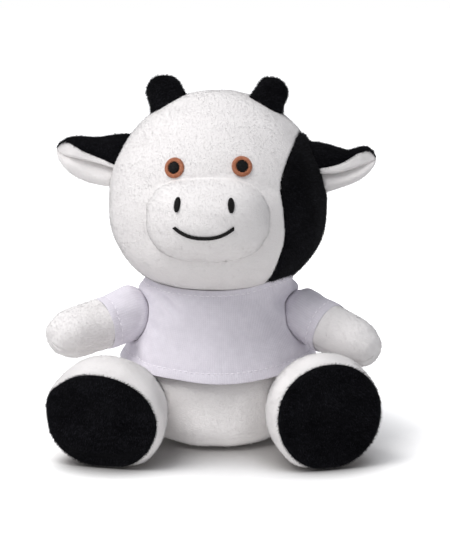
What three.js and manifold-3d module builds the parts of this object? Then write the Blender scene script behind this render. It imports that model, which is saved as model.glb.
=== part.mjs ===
// A seated plush cow: a white pile toy with one black side of the head, black horns,
// ears, soles and tail tip, an embroidered face and a short white jersey shirt.
// Millimetres, +Z up. The toy faces -Y and its own left side is +X.
// The origin is the centre of the flat seat under the torso.

import * as THREE from 'three';
import { mergeVertices } from 'three/addons/utils/BufferGeometryUtils.js';
import Module from 'manifold-3d';

const wasm = await Module();
wasm.setup();

// Clearances and cloth
const sewnGap = 0.3;
const turnGap = 0.5;
const seatCut = 0.5;
const overrun = 20;
const weld = 0.0005;

// Torso
const torsoHeight = 79;
const torsoHalfWidth = 46.5;
const torsoBack = 4;
const torsoDepthShare = 0.83;
const neckDepthShare = 0.92;
const neckRoundingShares = { from: 0.6, to: 0.93 };
const torsoShares = [
  [0, 0.58], [0.02, 0.7], [0.07, 0.85], [0.15, 0.945], [0.28, 1], [0.41, 0.975],
  [0.5, 0.925], [0.59, 0.87], [0.69, 0.81], [0.78, 0.77], [0.87, 0.735], [0.95, 0.69], [1, 0.65],
];

// Head, let into the top of the torso and carried by it
const headRadius = 53.5;
const headCrown = 56;
const headChin = 44;
const neckOverlap = 6.8;
const headCentre = torsoHeight - neckOverlap + headChin;
const chinPower = 2.35;
const chinSpacingPower = 1.1;
const headDepthShare = 0.94;
const headFlatteningShares = { from: 0.75, to: 0.2 };
const headTurn = THREE.MathUtils.degToRad(-5.5);

// Black panel at the head's left side
const panelWall = 3;
const panelSeamShares = [
  [-1, 0.37], [-0.84, 0.477], [-0.69, 0.566], [-0.44, 0.654], [-0.25, 0.688], [0.03, 0.678],
  [0.25, 0.658], [0.37, 0.673], [0.51, 0.72], [0.67, 0.785], [0.8, 0.88],
];

// Muzzle
const muzzleHalfWidth = 29.5;
const muzzleHalfHeight = 20.5;
const muzzleReach = 22;
const muzzleDrop = 1.5;
const muzzleHeight = headCentre - muzzleDrop;
const muzzleSink = 7.3;
const muzzlePower = 2.5;

// Embroidered face, at heights above the middle of the head or of the muzzle
const eyeRadius = 5.2;
const eyeDome = 1.3;
const pupilRadius = 3.1;
const pupilDome = 1.8;
const eyeSpacing = 32.2;
const eyeRises = { left: 24, right: 22.9 };
const nostrilHalfWidth = 1.9;
const nostrilHalfHeight = 3.8;
const nostrilDome = 1.2;
const nostrilSpacing = 25.4;
const nostrilRise = 9.3;
const nostrilHeight = muzzleHeight + nostrilRise;
const mouthWidth = 27.8;
const mouthDrop = 4.4;
const mouthFall = 1.6;
const mouthHeight = muzzleHeight - mouthFall;
const mouthRadius = 0.95;

// Horns
const hornHalfWidth = 10.3;
const hornHalfDepth = 6.5;
const hornHalfHeight = 16.5;
const hornPlaceShare = 0.4748;
const hornSink = 2.5;
const hornPower = 2.4;

// Ears
const earHalfHeight = 12.6;
const earHalfThickness = 5.5;
const earLength = 25;
const earPower = 2.6;
const earStandOff = 5.5;
const earRises = { left: 17.4, right: 19.6 };
const earSpacingPower = 0.8;
const earLift = THREE.MathUtils.degToRad(6);
const earLiningShares = { rootFront: -0.12, tipFront: 0.66, rootBack: 0.9 };
const earGrooveShares = { start: 0.26, end: 0.9, height: -0.06, width: 0.11, depth: 0.75 };

// Shirt, which reaches from the neck down to the top of the legs
const shirtWall = 1.3;
const shirtRise = 0.5;
const shirtTop = torsoHeight + shirtRise;
const hemFront = 33.6;
const hemSide = 38.5;
const hemBack = 35;
const collarEase = 0.7;
const hemEase = 2;
const hemCornerEase = 2.4;
const shirtRoundingShare = 0.12;
const flutes = 7;
const fluteDepth = 0.9;
const foldDepth = 1.1;
const foldShares = { bearing: 1.35, lean: 0.55, width: 0.16 };
const sleeveWall = 1.2;
const sleeveRadius = 12.5;
const sleeveLength = 15.2;
const sleeveFlare = 0.4;
const sleeveOpening = THREE.MathUtils.degToRad(22);
const armholeEase = 0.5;

// Arms
const shoulderDrop = 18;
const shoulderHeight = torsoHeight - shoulderDrop;
const shoulderStandOff = 9.3;
const shoulderBearing = THREE.MathUtils.degToRad(76);
const armRadius = sleeveRadius - sleeveWall - sewnGap;
const armLength = 44.5;
const armShares = [[0, 1], [0.25, 1], [0.45, 1.06], [0.64, 1.12], [0.8, 1.02], [0.91, 0.77]];
const handEndShare = 0.66;
const armBearings = { left: THREE.MathUtils.degToRad(52), right: THREE.MathUtils.degToRad(58) };
const armDroops = { left: THREE.MathUtils.degToRad(18.5), right: THREE.MathUtils.degToRad(10) };

// Legs
const hipHeight = 22;
const hipRadius = 16.5;
const hipStandOff = 10;
const hipBearing = THREE.MathUtils.degToRad(43);
const legBearing = THREE.MathUtils.degToRad(17.5);
const legLength = 45.5;
const soleRadius = 27.2;
const soleWall = 3;
const soleDome = 2.4;
const legShares = [[0, 0], [0.2, 0.38], [0.42, 0.78], [0.62, 1.04], [0.8, 1.1], [0.94, 1]];
const soleRimShare = 0.975;
const soleRoundingShare = 0.12;
const soleDomeShares = { across: 0.5, high: 0.7 };
const leanStartShare = 0.4;
const leanBelowShare = 0.7;
const pressHeight = 7;
const soleTilts = { left: THREE.MathUtils.degToRad(10), right: THREE.MathUtils.degToRad(26) };

// Tail
const tailHeight = 24;
const tailRadius = 5;
const tailStandOff = 3.6;
const tailLength = 20;
const tailShares = { middle: 0.86, end: 0.8 };
const tailDroop = THREE.MathUtils.degToRad(35);
const tuftRadius = 7.5;
const tuftLength = 17;
const tuftPower = 1.8;
const tuftSpacingPower = 0.8;
const tuftStartShare = 0.04;

const LEFT = 1;
const RIGHT = -1;
const sideName = (side) => (side === LEFT ? 'left' : 'right');
const up = new THREE.Vector3(0, 0, 1);

// Colours of the pile, the jersey and the threads
const colours = {
  whitePlush: { color: '#e9e8ea', roughness: 0.95 },
  blackPlush: { color: '#17161a', roughness: 0.95 },
  jersey: { color: '#eceaf3', roughness: 0.9 },
  copperThread: { color: '#8a5236', roughness: 0.55 },
  blackThread: { color: '#0f0e10', roughness: 0.45 },
};

// Form helpers
const bulge = (share, power) => Math.pow(Math.max(0, 1 - Math.pow(Math.abs(share), power)), 1 / power);

const smooth = (value, from, to) => THREE.MathUtils.smoothstep(value, from, to);

function curveThroughShares(shares) {
  const points = shares.map(([along, across]) => new THREE.Vector2(along, across));
  return new THREE.SplineCurve(points);
}

function shareAt(shares, along) {
  let index = 0;
  while (index < shares.length - 2 && shares[index + 1][0] < along) index += 1;
  const [x0, y0] = shares[Math.max(0, index - 1)];
  const [x1, y1] = shares[index];
  const [x2, y2] = shares[index + 1];
  const [x3, y3] = shares[Math.min(shares.length - 1, index + 2)];
  const t = THREE.MathUtils.clamp((along - x1) / (x2 - x1), 0, 1);
  const slope1 = (y2 - y0) / (x2 - x0) * (x2 - x1);
  const slope2 = (y3 - y1) / (x3 - x1) * (x2 - x1);
  const a = 2 * t ** 3 - 3 * t ** 2 + 1;
  const b = t ** 3 - 2 * t ** 2 + t;
  const c = -2 * t ** 3 + 3 * t ** 2;
  const d = t ** 3 - t ** 2;
  return a * y1 + b * slope1 + c * y2 + d * slope2;
}

function reshape(geometry, place) {
  const position = geometry.getAttribute('position');
  const point = new THREE.Vector3();
  for (let i = 0; i < position.count; i += 1) {
    point.fromBufferAttribute(position, i);
    place(point);
    position.setXYZ(i, point.x, point.y, point.z);
  }
  return geometry;
}

// A unit ball whose poles lie on the Z axis
function unitBall(around, along) {
  return new THREE.SphereGeometry(1, around, along).rotateX(Math.PI / 2);
}

// A form turned round the Z axis from [height, radius] pairs
function turned(profile, around) {
  const points = profile.map(([height, radius]) => new THREE.Vector2(radius, height));
  return new THREE.LatheGeometry(points, around).rotateX(Math.PI / 2);
}

// Closed triangles with shared corners, faces outwards
function solid(geometry) {
  const bare = geometry.clone();
  for (const name of Object.keys(bare.attributes)) {
    if (name !== 'position') bare.deleteAttribute(name);
  }
  const merged = mergeVertices(bare, weld);
  const position = merged.getAttribute('position').array;
  const corners = merged.index.array;
  const triangles = [];
  let volume = 0;
  const [p, q, r] = [new THREE.Vector3(), new THREE.Vector3(), new THREE.Vector3()];
  for (let i = 0; i < corners.length; i += 3) {
    const [a, b, c] = [corners[i], corners[i + 1], corners[i + 2]];
    if (a === b || b === c || c === a) continue;
    triangles.push(a, b, c);
    p.fromArray(position, 3 * a);
    q.fromArray(position, 3 * b);
    r.fromArray(position, 3 * c);
    volume += p.dot(q.cross(r));
  }
  if (volume < 0) triangles.reverse();
  return new wasm.Manifold(new wasm.Mesh({
    numProp: 3,
    vertProperties: new Float32Array(position),
    triVerts: new Uint32Array(triangles),
  }));
}

function meshOf(name, body, look) {
  const data = body.getMesh();
  const geometry = new THREE.BufferGeometry();
  geometry.setAttribute('position', new THREE.BufferAttribute(new Float32Array(data.vertProperties), 3));
  geometry.setIndex(new THREE.BufferAttribute(new Uint32Array(data.triVerts), 1));
  geometry.computeVertexNormals();
  const material = new THREE.MeshStandardMaterial({ ...colours[look], metalness: 0 });
  const mesh = new THREE.Mesh(geometry, material);
  mesh.name = name;
  return mesh;
}

function block(width, depth, height, x, y, z) {
  return solid(new THREE.BoxGeometry(width, depth, height).translate(x, y, z));
}

// Turns +Z onto a direction, with the form's own +X as near to world up as it can be
function aim(direction) {
  const z = direction.clone().normalize();
  const y = new THREE.Vector3().crossVectors(z, up).normalize();
  const x = new THREE.Vector3().crossVectors(y, z);
  return new THREE.Matrix4().makeBasis(x, y, z);
}

// A bearing is counted outwards from straight ahead, a droop downwards from level
function heading(side, bearing, droop) {
  const level = Math.cos(droop);
  return new THREE.Vector3(side * Math.sin(bearing) * level, -Math.cos(bearing) * level, -Math.sin(droop));
}

const ballAt = (centre, radius, around, along) => {
  const ball = unitBall(around, along).scale(radius, radius, radius);
  return solid(ball.translate(centre.x, centre.y, centre.z));
};

// Torso
const torsoRadiusAt = (z) => torsoHalfWidth * shareAt(torsoShares, z / torsoHeight);
const torsoDepthAt = (z) => {
  const round = smooth(z, torsoHeight * neckRoundingShares.from, torsoHeight * neckRoundingShares.to);
  return THREE.MathUtils.lerp(torsoDepthShare, neckDepthShare, round);
};

// The point of the torso's skin at a height whose outward direction has a bearing
function torsoFoot(side, bearing, z) {
  const halfWidth = torsoRadiusAt(z);
  const halfDepth = halfWidth * torsoDepthAt(z);
  const out = heading(side, bearing, 0);
  const reach = Math.hypot(halfWidth * out.x, halfDepth * out.y);
  return new THREE.Vector3(halfWidth ** 2 * out.x / reach, halfDepth ** 2 * out.y / reach - torsoBack, z);
}

function pivotOffTorso(side, bearing, z, standOff) {
  return torsoFoot(side, bearing, z).addScaledVector(heading(side, bearing, 0), standOff);
}

function torsoForm() {
  const curve = curveThroughShares(torsoShares);
  const profile = [[0, 0]];
  for (const point of curve.getPoints(12)) {
    profile.push([point.x * torsoHeight, point.y * torsoHalfWidth]);
  }
  profile.push([torsoHeight, 0]);
  const form = turned(profile, 30);
  return reshape(form, (point) => {
    point.y = point.y * torsoDepthAt(point.z) - torsoBack;
  });
}

// Head
function headRadiusAt(z, grow) {
  const height = z - headCentre;
  if (height >= 0) return (headRadius + grow) * bulge(Math.min(1, height / (headCrown + grow)), 2);
  return (headRadius + grow) * bulge(Math.min(1, -height / (headChin + grow)), chinPower);
}

const headDepthAt = (z) => {
  const { from, to } = headFlatteningShares;
  const flat = smooth(z, headCentre - headChin * from, headCentre - headChin * to);
  return THREE.MathUtils.lerp(1, headDepthShare, flat);
};

function headForm(grow) {
  return solid(reshape(unitBall(32, 18), (point) => {
    const lift = Math.sign(point.z) * Math.pow(Math.abs(point.z), point.z < 0 ? chinSpacingPower : 1);
    const z = headCentre + lift * ((point.z < 0 ? headChin : headCrown) + grow);
    const bearing = Math.atan2(point.y, point.x);
    const radius = headRadiusAt(z, grow);
    point.set(radius * Math.cos(bearing), radius * Math.sin(bearing) * headDepthAt(z), z);
  }));
}

// The front of the head's skin at a place across the face and a height
function headFront(x, z) {
  const radius = headRadiusAt(z, 0);
  return new THREE.Vector3(x, -headDepthAt(z) * Math.sqrt(radius ** 2 - x ** 2), z);
}

function panelCutter(spread) {
  const outline = new THREE.Shape();
  const edge = panelSeamShares.map(([height, across]) => new THREE.Vector2(
    across * headRadius - spread,
    headCentre + height * (height < 0 ? headChin : headCrown),
  ));
  const reach = headRadius + overrun;
  outline.moveTo(reach, edge[0].y - overrun);
  outline.lineTo(edge[0].x, edge[0].y - overrun);
  outline.lineTo(edge[0].x, edge[0].y);
  outline.splineThru(edge.slice(1));
  outline.lineTo(reach, edge[edge.length - 1].y + spread);
  const depth = 2 * reach;
  const settings = { depth, bevelEnabled: false, curveSegments: 2 };
  const cutter = new THREE.ExtrudeGeometry(outline, settings).rotateX(Math.PI / 2);
  return solid(cutter.translate(0, reach, 0));
}

// Muzzle
const squarish = (x, z, power) => {
  const length = Math.hypot(x, z);
  if (length === 0) return 1;
  const sum = Math.pow(Math.abs(x / length), power) + Math.pow(Math.abs(z / length), power);
  return Math.pow(sum, -1 / power);
};

const muzzleCentre = new THREE.Vector3(0, muzzleSink - headRadius * headDepthShare, muzzleHeight);

function muzzleForm() {
  const form = unitBall(26, 12).rotateX(Math.PI / 2);
  return solid(reshape(form, (point) => {
    const spread = squarish(point.x, point.z, muzzlePower);
    point.set(
      muzzleCentre.x + point.x * spread * muzzleHalfWidth,
      muzzleCentre.y + point.y * muzzleReach,
      muzzleCentre.z + point.z * spread * muzzleHalfHeight,
    );
  }));
}

function muzzleFront(x, z) {
  const across = x / muzzleHalfWidth;
  const high = (z - muzzleHeight) / muzzleHalfHeight;
  const share = Math.hypot(across, high) / squarish(across, high, muzzlePower);
  return new THREE.Vector3(x, muzzleCentre.y - muzzleReach * Math.sqrt(1 - share ** 2), z);
}

// The outward direction of a front surface, from two short steps along it
function facing(front, x, z, step) {
  const centre = front(x, z);
  const across = front(x + step, z).sub(centre);
  const high = front(x, z + step).sub(centre);
  return across.cross(high).normalize();
}

// A domed oval of thread, let half its depth into the pile
function lens(front, x, z, halfWidth, halfHeight, dome, grow, around) {
  const out = facing(front, x, z, halfWidth / 5);
  const oval = unitBall(around, 4).scale(halfHeight + grow, halfWidth + grow, dome + grow);
  oval.applyMatrix4(aim(out));
  const place = front(x, z);
  return solid(oval.translate(place.x, place.y, place.z));
}

function mouthThread(radius) {
  const places = [-1, -0.5, 0, 0.5, 1].map((share) => {
    const z = mouthHeight - mouthDrop * (1 - share ** 2);
    return muzzleFront(share * mouthWidth / 2, z);
  });
  const path = new THREE.CatmullRomCurve3(places);
  const section = new THREE.Shape().absarc(0, 0, radius, 0, 2 * Math.PI);
  const settings = { steps: 12, curveSegments: 4, bevelEnabled: false, extrudePath: path };
  return solid(new THREE.ExtrudeGeometry(section, settings));
}

function mouthRoom() {
  const ends = [-1, 1].map((share) => muzzleFront(share * mouthWidth / 2, mouthHeight));
  const room = mouthThread(mouthRadius + sewnGap);
  return ends.reduce((sum, end) => sum.add(ballAt(end, mouthRadius + sewnGap, 10, 8)), room);
}

// Horns
function hornForm(side) {
  const x = side * hornPlaceShare * headRadius;
  const base = headCentre + headCrown * bulge(x / headRadius, 2) - hornSink;
  const form = unitBall(16, 10).rotateX(Math.PI / 2);
  return solid(reshape(form, (point) => {
    const spread = squarish(point.x, point.z, hornPower);
    point.set(
      x + point.x * spread * hornHalfWidth,
      point.y * hornHalfDepth,
      base + point.z * spread * hornHalfHeight,
    );
  }));
}

// Ears
function earRoot(side) {
  const height = earRises[sideName(side)] / headCrown;
  const x = headRadius * bulge(height, 2);
  const out = new THREE.Vector3(x / headRadius ** 2, 0, height / headCrown).normalize();
  const foot = new THREE.Vector3(x, 0, headCentre + earRises[sideName(side)]);
  const root = foot.addScaledVector(out, earStandOff);
  return new THREE.Vector3(side * root.x, root.y, root.z);
}

function placeEar(geometry, side) {
  const root = earRoot(side);
  geometry.rotateY(-earLift);
  if (side === RIGHT) geometry.rotateZ(Math.PI);
  return geometry.translate(root.x, root.y, root.z);
}

// Length runs along +X from the root, the lining faces the side that is turned forward
function earForm() {
  const form = unitBall(16, 10).rotateY(Math.PI / 2);
  return reshape(form, (point) => {
    const along = point.x > 0 ? Math.pow(point.x, earSpacingPower) : point.x;
    const girth = Math.hypot(point.y, point.z);
    const reach = bulge(along, along > 0 ? earPower : 2);
    const scale = girth > 0 ? reach / girth : 0;
    point.x = along * (along > 0 ? earLength : earHalfHeight);
    point.y *= scale * earHalfThickness;
    point.z *= scale * earHalfHeight;
  });
}

function earSocket(side) {
  const root = earRoot(side);
  const girth = earHalfHeight + turnGap;
  const socket = unitBall(18, 12).scale(girth, earHalfThickness + turnGap, girth);
  return solid(socket.translate(root.x, root.y, root.z));
}

// The seam plane through two places at the ear's front and one behind its lower edge
function earSplit(side, shift) {
  const front = side === RIGHT ? 1 : -1;
  const rootFront = new THREE.Vector3(
    0,
    front * earHalfThickness,
    earLiningShares.rootFront * earHalfHeight,
  );
  const tipFront = new THREE.Vector3(
    earLength,
    front * earHalfThickness / 2,
    earLiningShares.tipFront * earHalfHeight,
  );
  const rootBack = new THREE.Vector3(0, -front * earLiningShares.rootBack * earHalfThickness, -earHalfHeight);
  const normal = tipFront.clone().sub(rootFront).cross(rootBack.clone().sub(rootFront)).normalize();
  if (normal.y * front < 0) normal.negate();
  const reach = 2 * (earLength + earHalfHeight);
  const slab = new THREE.BoxGeometry(reach, reach, reach).translate(0, 0, reach / 2 + shift);
  slab.applyMatrix4(aim(normal));
  return slab.translate(rootFront.x, rootFront.y, rootFront.z);
}

function earGroove(side) {
  const front = side === RIGHT ? 1 : -1;
  const { start, end, height, width, depth } = earGrooveShares;
  const halfLength = (end - start) / 2 * earLength;
  const groove = unitBall(10, 10).rotateY(Math.PI / 2);
  groove.scale(halfLength, earHalfThickness * depth, earHalfHeight * width);
  return groove.translate(
    (start + end) / 2 * earLength,
    front * earHalfThickness,
    height * earHalfHeight,
  );
}

// Shirt
const frontness = (bearing) => Math.cos(bearing);

function hemHeight(bearing) {
  const middle = frontness(bearing) > 0 ? hemFront : hemBack;
  return hemSide - (hemSide - middle) * frontness(bearing) ** 2;
}

// Folds that hang from the armholes towards the middle of the hem
function shirtFolds(bearing, share) {
  const low = (1 - share) ** 1.5;
  const flute = fluteDepth * low * (0.5 + 0.5 * Math.cos(flutes * bearing));
  const away = Math.abs(bearing) - foldShares.bearing + share * foldShares.lean;
  const fold = Math.exp(-((away / foldShares.width) ** 2)) * Math.sin(Math.PI * share);
  return flute + foldDepth * fold;
}

function shirtRadius(bearing, share, z) {
  const low = (1 - share) ** 2;
  const corner = hemCornerEase * Math.sin(bearing) ** 4 * low;
  const ease = collarEase + (hemEase + corner) * low;
  return torsoRadiusAt(Math.min(z, torsoHeight)) + ease + shirtFolds(bearing, share);
}

function shirtForm() {
  const rows = 6;
  const profile = [];
  for (let i = 0; i <= rows; i += 1) profile.push([i / rows, 2]);
  for (let i = rows; i >= 0; i -= 1) profile.push([i / rows, 1]);
  profile.push([0, 2]);
  return solid(reshape(turned(profile, 36), (point) => {
    const wall = Math.hypot(point.x, point.y) > 1.5 ? shirtWall : 0;
    const bearing = Math.atan2(point.x, -point.y);
    const low = hemHeight(bearing);
    const z = low + point.z * (shirtTop - low);
    const radius = shirtRadius(bearing, point.z, z) + wall;
    const depth = THREE.MathUtils.lerp(torsoDepthAt(z), 1, shirtRoundingShare);
    point.set(radius * Math.sin(bearing), -radius * Math.cos(bearing) * depth - torsoBack, z);
  }));
}

// Arms and sleeves, made along +Z from the shoulder pivot
const shoulder = (side) => pivotOffTorso(side, shoulderBearing, shoulderHeight, shoulderStandOff);
const armHeading = (side) => heading(side, armBearings[sideName(side)], armDroops[sideName(side)]);

function rootBall(radius, steps) {
  const profile = [];
  for (let i = 0; i < steps; i += 1) {
    const angle = i / steps * Math.PI / 2;
    profile.push([-radius * Math.cos(angle), radius * Math.sin(angle)]);
  }
  return profile;
}

function armForm(side) {
  const profile = rootBall(armRadius, 5);
  const last = armShares[armShares.length - 1][0];
  for (let i = 0; i <= 7; i += 1) {
    const share = i / 7 * last;
    profile.push([share * armLength, armRadius * shareAt(armShares, share)]);
  }
  const nearTip = (1 + last) / 2 * armLength + sewnGap;
  profile.push([nearTip, armRadius * shareAt(armShares, last) * handEndShare]);
  profile.push([armLength, 0]);
  return limb(turned(profile, 20), shoulder(side), armHeading(side));
}

function sleeveForm(side) {
  const profile = [];
  const steps = 4;
  for (let i = 0; i <= steps; i += 1) {
    const angle = sleeveOpening + i / steps * (Math.PI / 2 - sleeveOpening);
    profile.push([-sleeveRadius * Math.cos(angle), sleeveRadius * Math.sin(angle)]);
  }
  profile.push([sleeveLength / 2, sleeveRadius + sleeveFlare / 3]);
  profile.push([sleeveLength, sleeveRadius + sleeveFlare]);
  const inside = profile.map(([z, radius]) => {
    const shrink = (sleeveRadius - sleeveWall) / sleeveRadius;
    return z <= 0 ? [z * shrink, radius * shrink] : [z, radius - sleeveWall];
  });
  const closed = [...profile, ...inside.reverse(), profile[0]];
  return limb(turned(closed, 20), shoulder(side), armHeading(side));
}

function limb(geometry, pivot, direction) {
  geometry.applyMatrix4(aim(direction));
  return solid(geometry.translate(pivot.x, pivot.y, pivot.z));
}

const shoulderRoom = sleeveRadius + sleeveFlare + turnGap;
const shoulderSocket = (side) => ballAt(shoulder(side), shoulderRoom, 20, 12);
const armhole = (side) => ballAt(shoulder(side), shoulderRoom + armholeEase, 20, 12);

// Legs, made along +Z from the hip pivot, with the sole's end leaned towards the floor
const hip = (side) => pivotOffTorso(side, hipBearing, hipHeight, hipStandOff);
const soleCentre = (side) => soleRadius * Math.cos(soleTilts[sideName(side)]) - seatCut;
const legHeading = (side) => {
  const rise = soleCentre(side) - hipHeight;
  return heading(side, legBearing, -Math.asin(rise / legLength));
};

function leanSole(geometry, side) {
  const tilt = soleTilts[sideName(side)];
  return reshape(geometry, (point) => {
    const lean = tilt * smooth(point.z, legLength * leanStartShare, legLength);
    const share = point.x < 0 ? leanBelowShare : 1;
    point.z += share * point.x * Math.sin(lean);
    point.x *= Math.cos(lean);
  });
}

// The stuffing gives way where the leg lies on the floor
function legLimb(geometry, side) {
  leanSole(geometry, side).applyMatrix4(aim(legHeading(side)));
  const pivot = hip(side);
  geometry.translate(pivot.x, pivot.y, pivot.z);
  geometry.computeBoundingBox();
  const lowest = Math.min(-seatCut, geometry.boundingBox.min.z);
  const give = (pressHeight + seatCut) / (pressHeight - lowest);
  return solid(reshape(geometry, (point) => {
    if (point.z < pressHeight) point.z = pressHeight - (pressHeight - point.z) * give;
  }));
}

function legForm(side) {
  const profile = rootBall(hipRadius, 5);
  const steps = 6;
  const end = (legLength - soleWall) / legLength;
  for (let i = 0; i <= steps; i += 1) {
    const share = i / steps * end;
    const swell = shareAt(legShares, share);
    profile.push([share * legLength, THREE.MathUtils.lerp(hipRadius, soleRadius, swell)]);
  }
  profile.push([end * legLength, 0]);
  return legLimb(turned(profile, 24), side);
}

function soleForm(side) {
  const start = legLength - soleWall + sewnGap;
  const profile = [[start, 0], [start, soleRadius * soleRimShare]];
  const steps = 5;
  for (let i = 1; i <= steps; i += 1) {
    const angle = i / steps * Math.PI / 2;
    const inset = soleRoundingShare * (1 - Math.cos(angle));
    const rise = (soleWall - sewnGap) * Math.sin(angle);
    profile.push([start + rise, soleRadius * (soleRimShare - inset)]);
  }
  profile.push([legLength + soleDome * soleDomeShares.high, soleRadius * soleDomeShares.across]);
  profile.push([legLength + soleDome, 0]);
  return legLimb(turned(profile, 24), side);
}

const hipSocket = (side) => ballAt(hip(side), hipRadius + turnGap, 22, 14);

// Tail, made along +Z from its pivot behind the torso
const tailHeading = new THREE.Vector3(0, Math.cos(tailDroop), -Math.sin(tailDroop));
const tailPivot = () => {
  const depth = torsoRadiusAt(tailHeight) * torsoDepthAt(tailHeight);
  return new THREE.Vector3(0, depth - torsoBack + tailStandOff, tailHeight);
};

function tailForm() {
  const profile = rootBall(tailRadius, 5);
  profile.push([0, tailRadius]);
  profile.push([tailLength / 2, tailRadius * tailShares.middle]);
  profile.push([tailLength, tailRadius * tailShares.end]);
  profile.push([tailLength, 0]);
  return limb(turned(profile, 12), tailPivot(), tailHeading);
}

function tuftForm() {
  const start = tailLength + sewnGap;
  const profile = [[start, 0]];
  const steps = 7;
  for (let i = 0; i < steps; i += 1) {
    const share = tuftStartShare + i / steps * (1 - tuftStartShare);
    const swell = bulge(2 * Math.pow(share, tuftSpacingPower) - 1, tuftPower);
    profile.push([start + share * tuftLength, tuftRadius * swell]);
  }
  profile.push([start + tuftLength, 0]);
  return limb(turned(profile, 12), tailPivot(), tailHeading);
}

// Sewn together, each smaller form cut by the larger one that carries it
const group = new THREE.Group();
const headGroup = new THREE.Group();
headGroup.rotation.z = headTurn;
headGroup.position.y = -torsoBack;
group.add(headGroup);

const sides = [LEFT, RIGHT];
const floorCutter = block(
  4 * (torsoHalfWidth + legLength),
  4 * (torsoHalfWidth + legLength),
  overrun,
  0,
  0,
  -overrun / 2,
);

const neckRoom = headForm(turnGap).translate([0, -torsoBack, 0]);
const tailSocket = ballAt(tailPivot(), tailRadius + turnGap, 18, 12);

let torso = solid(torsoForm()).subtract(neckRoom).subtract(tailSocket);
let shirt = shirtForm().subtract(neckRoom);
for (const side of sides) {
  torso = torso.subtract(shoulderSocket(side)).subtract(hipSocket(side));
  shirt = shirt.subtract(armhole(side)).subtract(hipSocket(side));
}
group.add(meshOf('torso', torso, 'whitePlush'));
group.add(meshOf('shirt_body', shirt, 'jersey'));

for (const side of sides) {
  const name = sideName(side);
  group.add(meshOf(`arm_${name}`, armForm(side), 'whitePlush'));
  group.add(meshOf(`sleeve_${name}`, sleeveForm(side), 'jersey'));
  group.add(meshOf(`leg_${name}`, legForm(side).subtract(floorCutter), 'whitePlush'));
  group.add(meshOf(`sole_${name}`, soleForm(side).subtract(floorCutter), 'blackPlush'));
}

group.add(meshOf('tail', tailForm(), 'whitePlush'));
group.add(meshOf('tail_tuft', tuftForm(), 'blackPlush'));

const headWhole = headForm(0);
const underPanel = headForm(-panelWall);
const eyeAt = (side, radius, dome, grow, around) => lens(
  headFront,
  side * eyeSpacing / 2,
  headCentre + eyeRises[sideName(side)],
  radius,
  radius,
  dome,
  grow,
  around,
);
const nostrilAt = (side, grow) => lens(
  muzzleFront,
  side * nostrilSpacing / 2,
  nostrilHeight,
  nostrilHalfWidth,
  nostrilHalfHeight,
  nostrilDome,
  grow,
  12,
);

const panel = headWhole.subtract(underPanel).intersect(panelCutter(0)).subtract(earSocket(LEFT));
let head = headWhole.subtract(panelCutter(sewnGap).subtract(headForm(-panelWall - sewnGap)));
let muzzle = muzzleForm().subtract(headForm(sewnGap)).subtract(mouthRoom());
for (const side of sides) {
  const name = sideName(side);
  const eye = eyeAt(side, eyeRadius, eyeDome, 0, 16);
  const pupilRoom = eyeAt(side, pupilRadius, pupilDome, sewnGap, 12);
  head = head.subtract(earSocket(side)).subtract(eyeAt(side, eyeRadius, eyeDome, sewnGap, 16));
  head = head.subtract(pupilRoom);
  muzzle = muzzle.subtract(nostrilAt(side, sewnGap));
  headGroup.add(meshOf(`eye_ring_${name}`, eye.subtract(pupilRoom), 'copperThread'));
  headGroup.add(meshOf(`pupil_${name}`, eyeAt(side, pupilRadius, pupilDome, 0, 12), 'blackThread'));
  headGroup.add(meshOf(`nostril_${name}`, nostrilAt(side, 0), 'blackThread'));
  headGroup.add(meshOf(`horn_${name}`, hornForm(side).subtract(headForm(sewnGap)), 'blackPlush'));

  const ear = solid(placeEar(earForm(), side));
  const lining = solid(placeEar(earSplit(side, sewnGap / 2), side));
  const backing = solid(placeEar(earSplit(side, -sewnGap / 2), side));
  const groove = solid(placeEar(earGroove(side), side));
  headGroup.add(meshOf(`ear_back_${name}`, ear.subtract(backing), 'blackPlush'));
  headGroup.add(meshOf(`ear_lining_${name}`, ear.intersect(lining).subtract(groove), 'whitePlush'));
}
headGroup.add(meshOf('head', head, 'whitePlush'));
headGroup.add(meshOf('head_panel', panel, 'blackPlush'));
headGroup.add(meshOf('muzzle', muzzle, 'whitePlush'));
headGroup.add(meshOf('mouth', mouthThread(mouthRadius), 'blackThread'));

export default group;
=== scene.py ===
# %% [markdown]
# # A seated plush cow
#
# The toy is a set of stuffed bags: head, muzzle, torso, arms, legs, ears, horns and tail. Each bag
# is cut from short-pile plush, turned and filled. Over the torso it wears a thin jersey shirt.
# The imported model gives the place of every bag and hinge, so this lesson starts by loading it.

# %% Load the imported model
import bpy
import math
import numpy as np
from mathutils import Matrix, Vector


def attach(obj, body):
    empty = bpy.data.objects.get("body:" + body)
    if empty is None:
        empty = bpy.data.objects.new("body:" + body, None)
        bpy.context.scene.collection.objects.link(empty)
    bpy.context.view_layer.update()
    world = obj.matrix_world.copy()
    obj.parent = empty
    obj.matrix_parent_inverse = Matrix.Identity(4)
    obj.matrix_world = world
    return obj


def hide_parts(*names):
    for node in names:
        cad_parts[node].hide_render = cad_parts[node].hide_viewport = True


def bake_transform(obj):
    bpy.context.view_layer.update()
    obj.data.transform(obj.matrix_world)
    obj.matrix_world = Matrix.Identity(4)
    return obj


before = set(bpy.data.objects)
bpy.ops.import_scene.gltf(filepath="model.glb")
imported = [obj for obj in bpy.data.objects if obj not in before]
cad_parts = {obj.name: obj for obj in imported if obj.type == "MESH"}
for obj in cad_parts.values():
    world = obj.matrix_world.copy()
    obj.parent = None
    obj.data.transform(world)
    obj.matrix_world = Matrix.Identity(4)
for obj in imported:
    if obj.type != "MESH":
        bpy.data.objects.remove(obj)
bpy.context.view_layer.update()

# %% [markdown]
# ## Camera
#
# The photograph was taken from straight in front and a little above, with a long lens: the soles
# look round and the far side of the head hardly shrinks. A long lens far away keeps it so.

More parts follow.
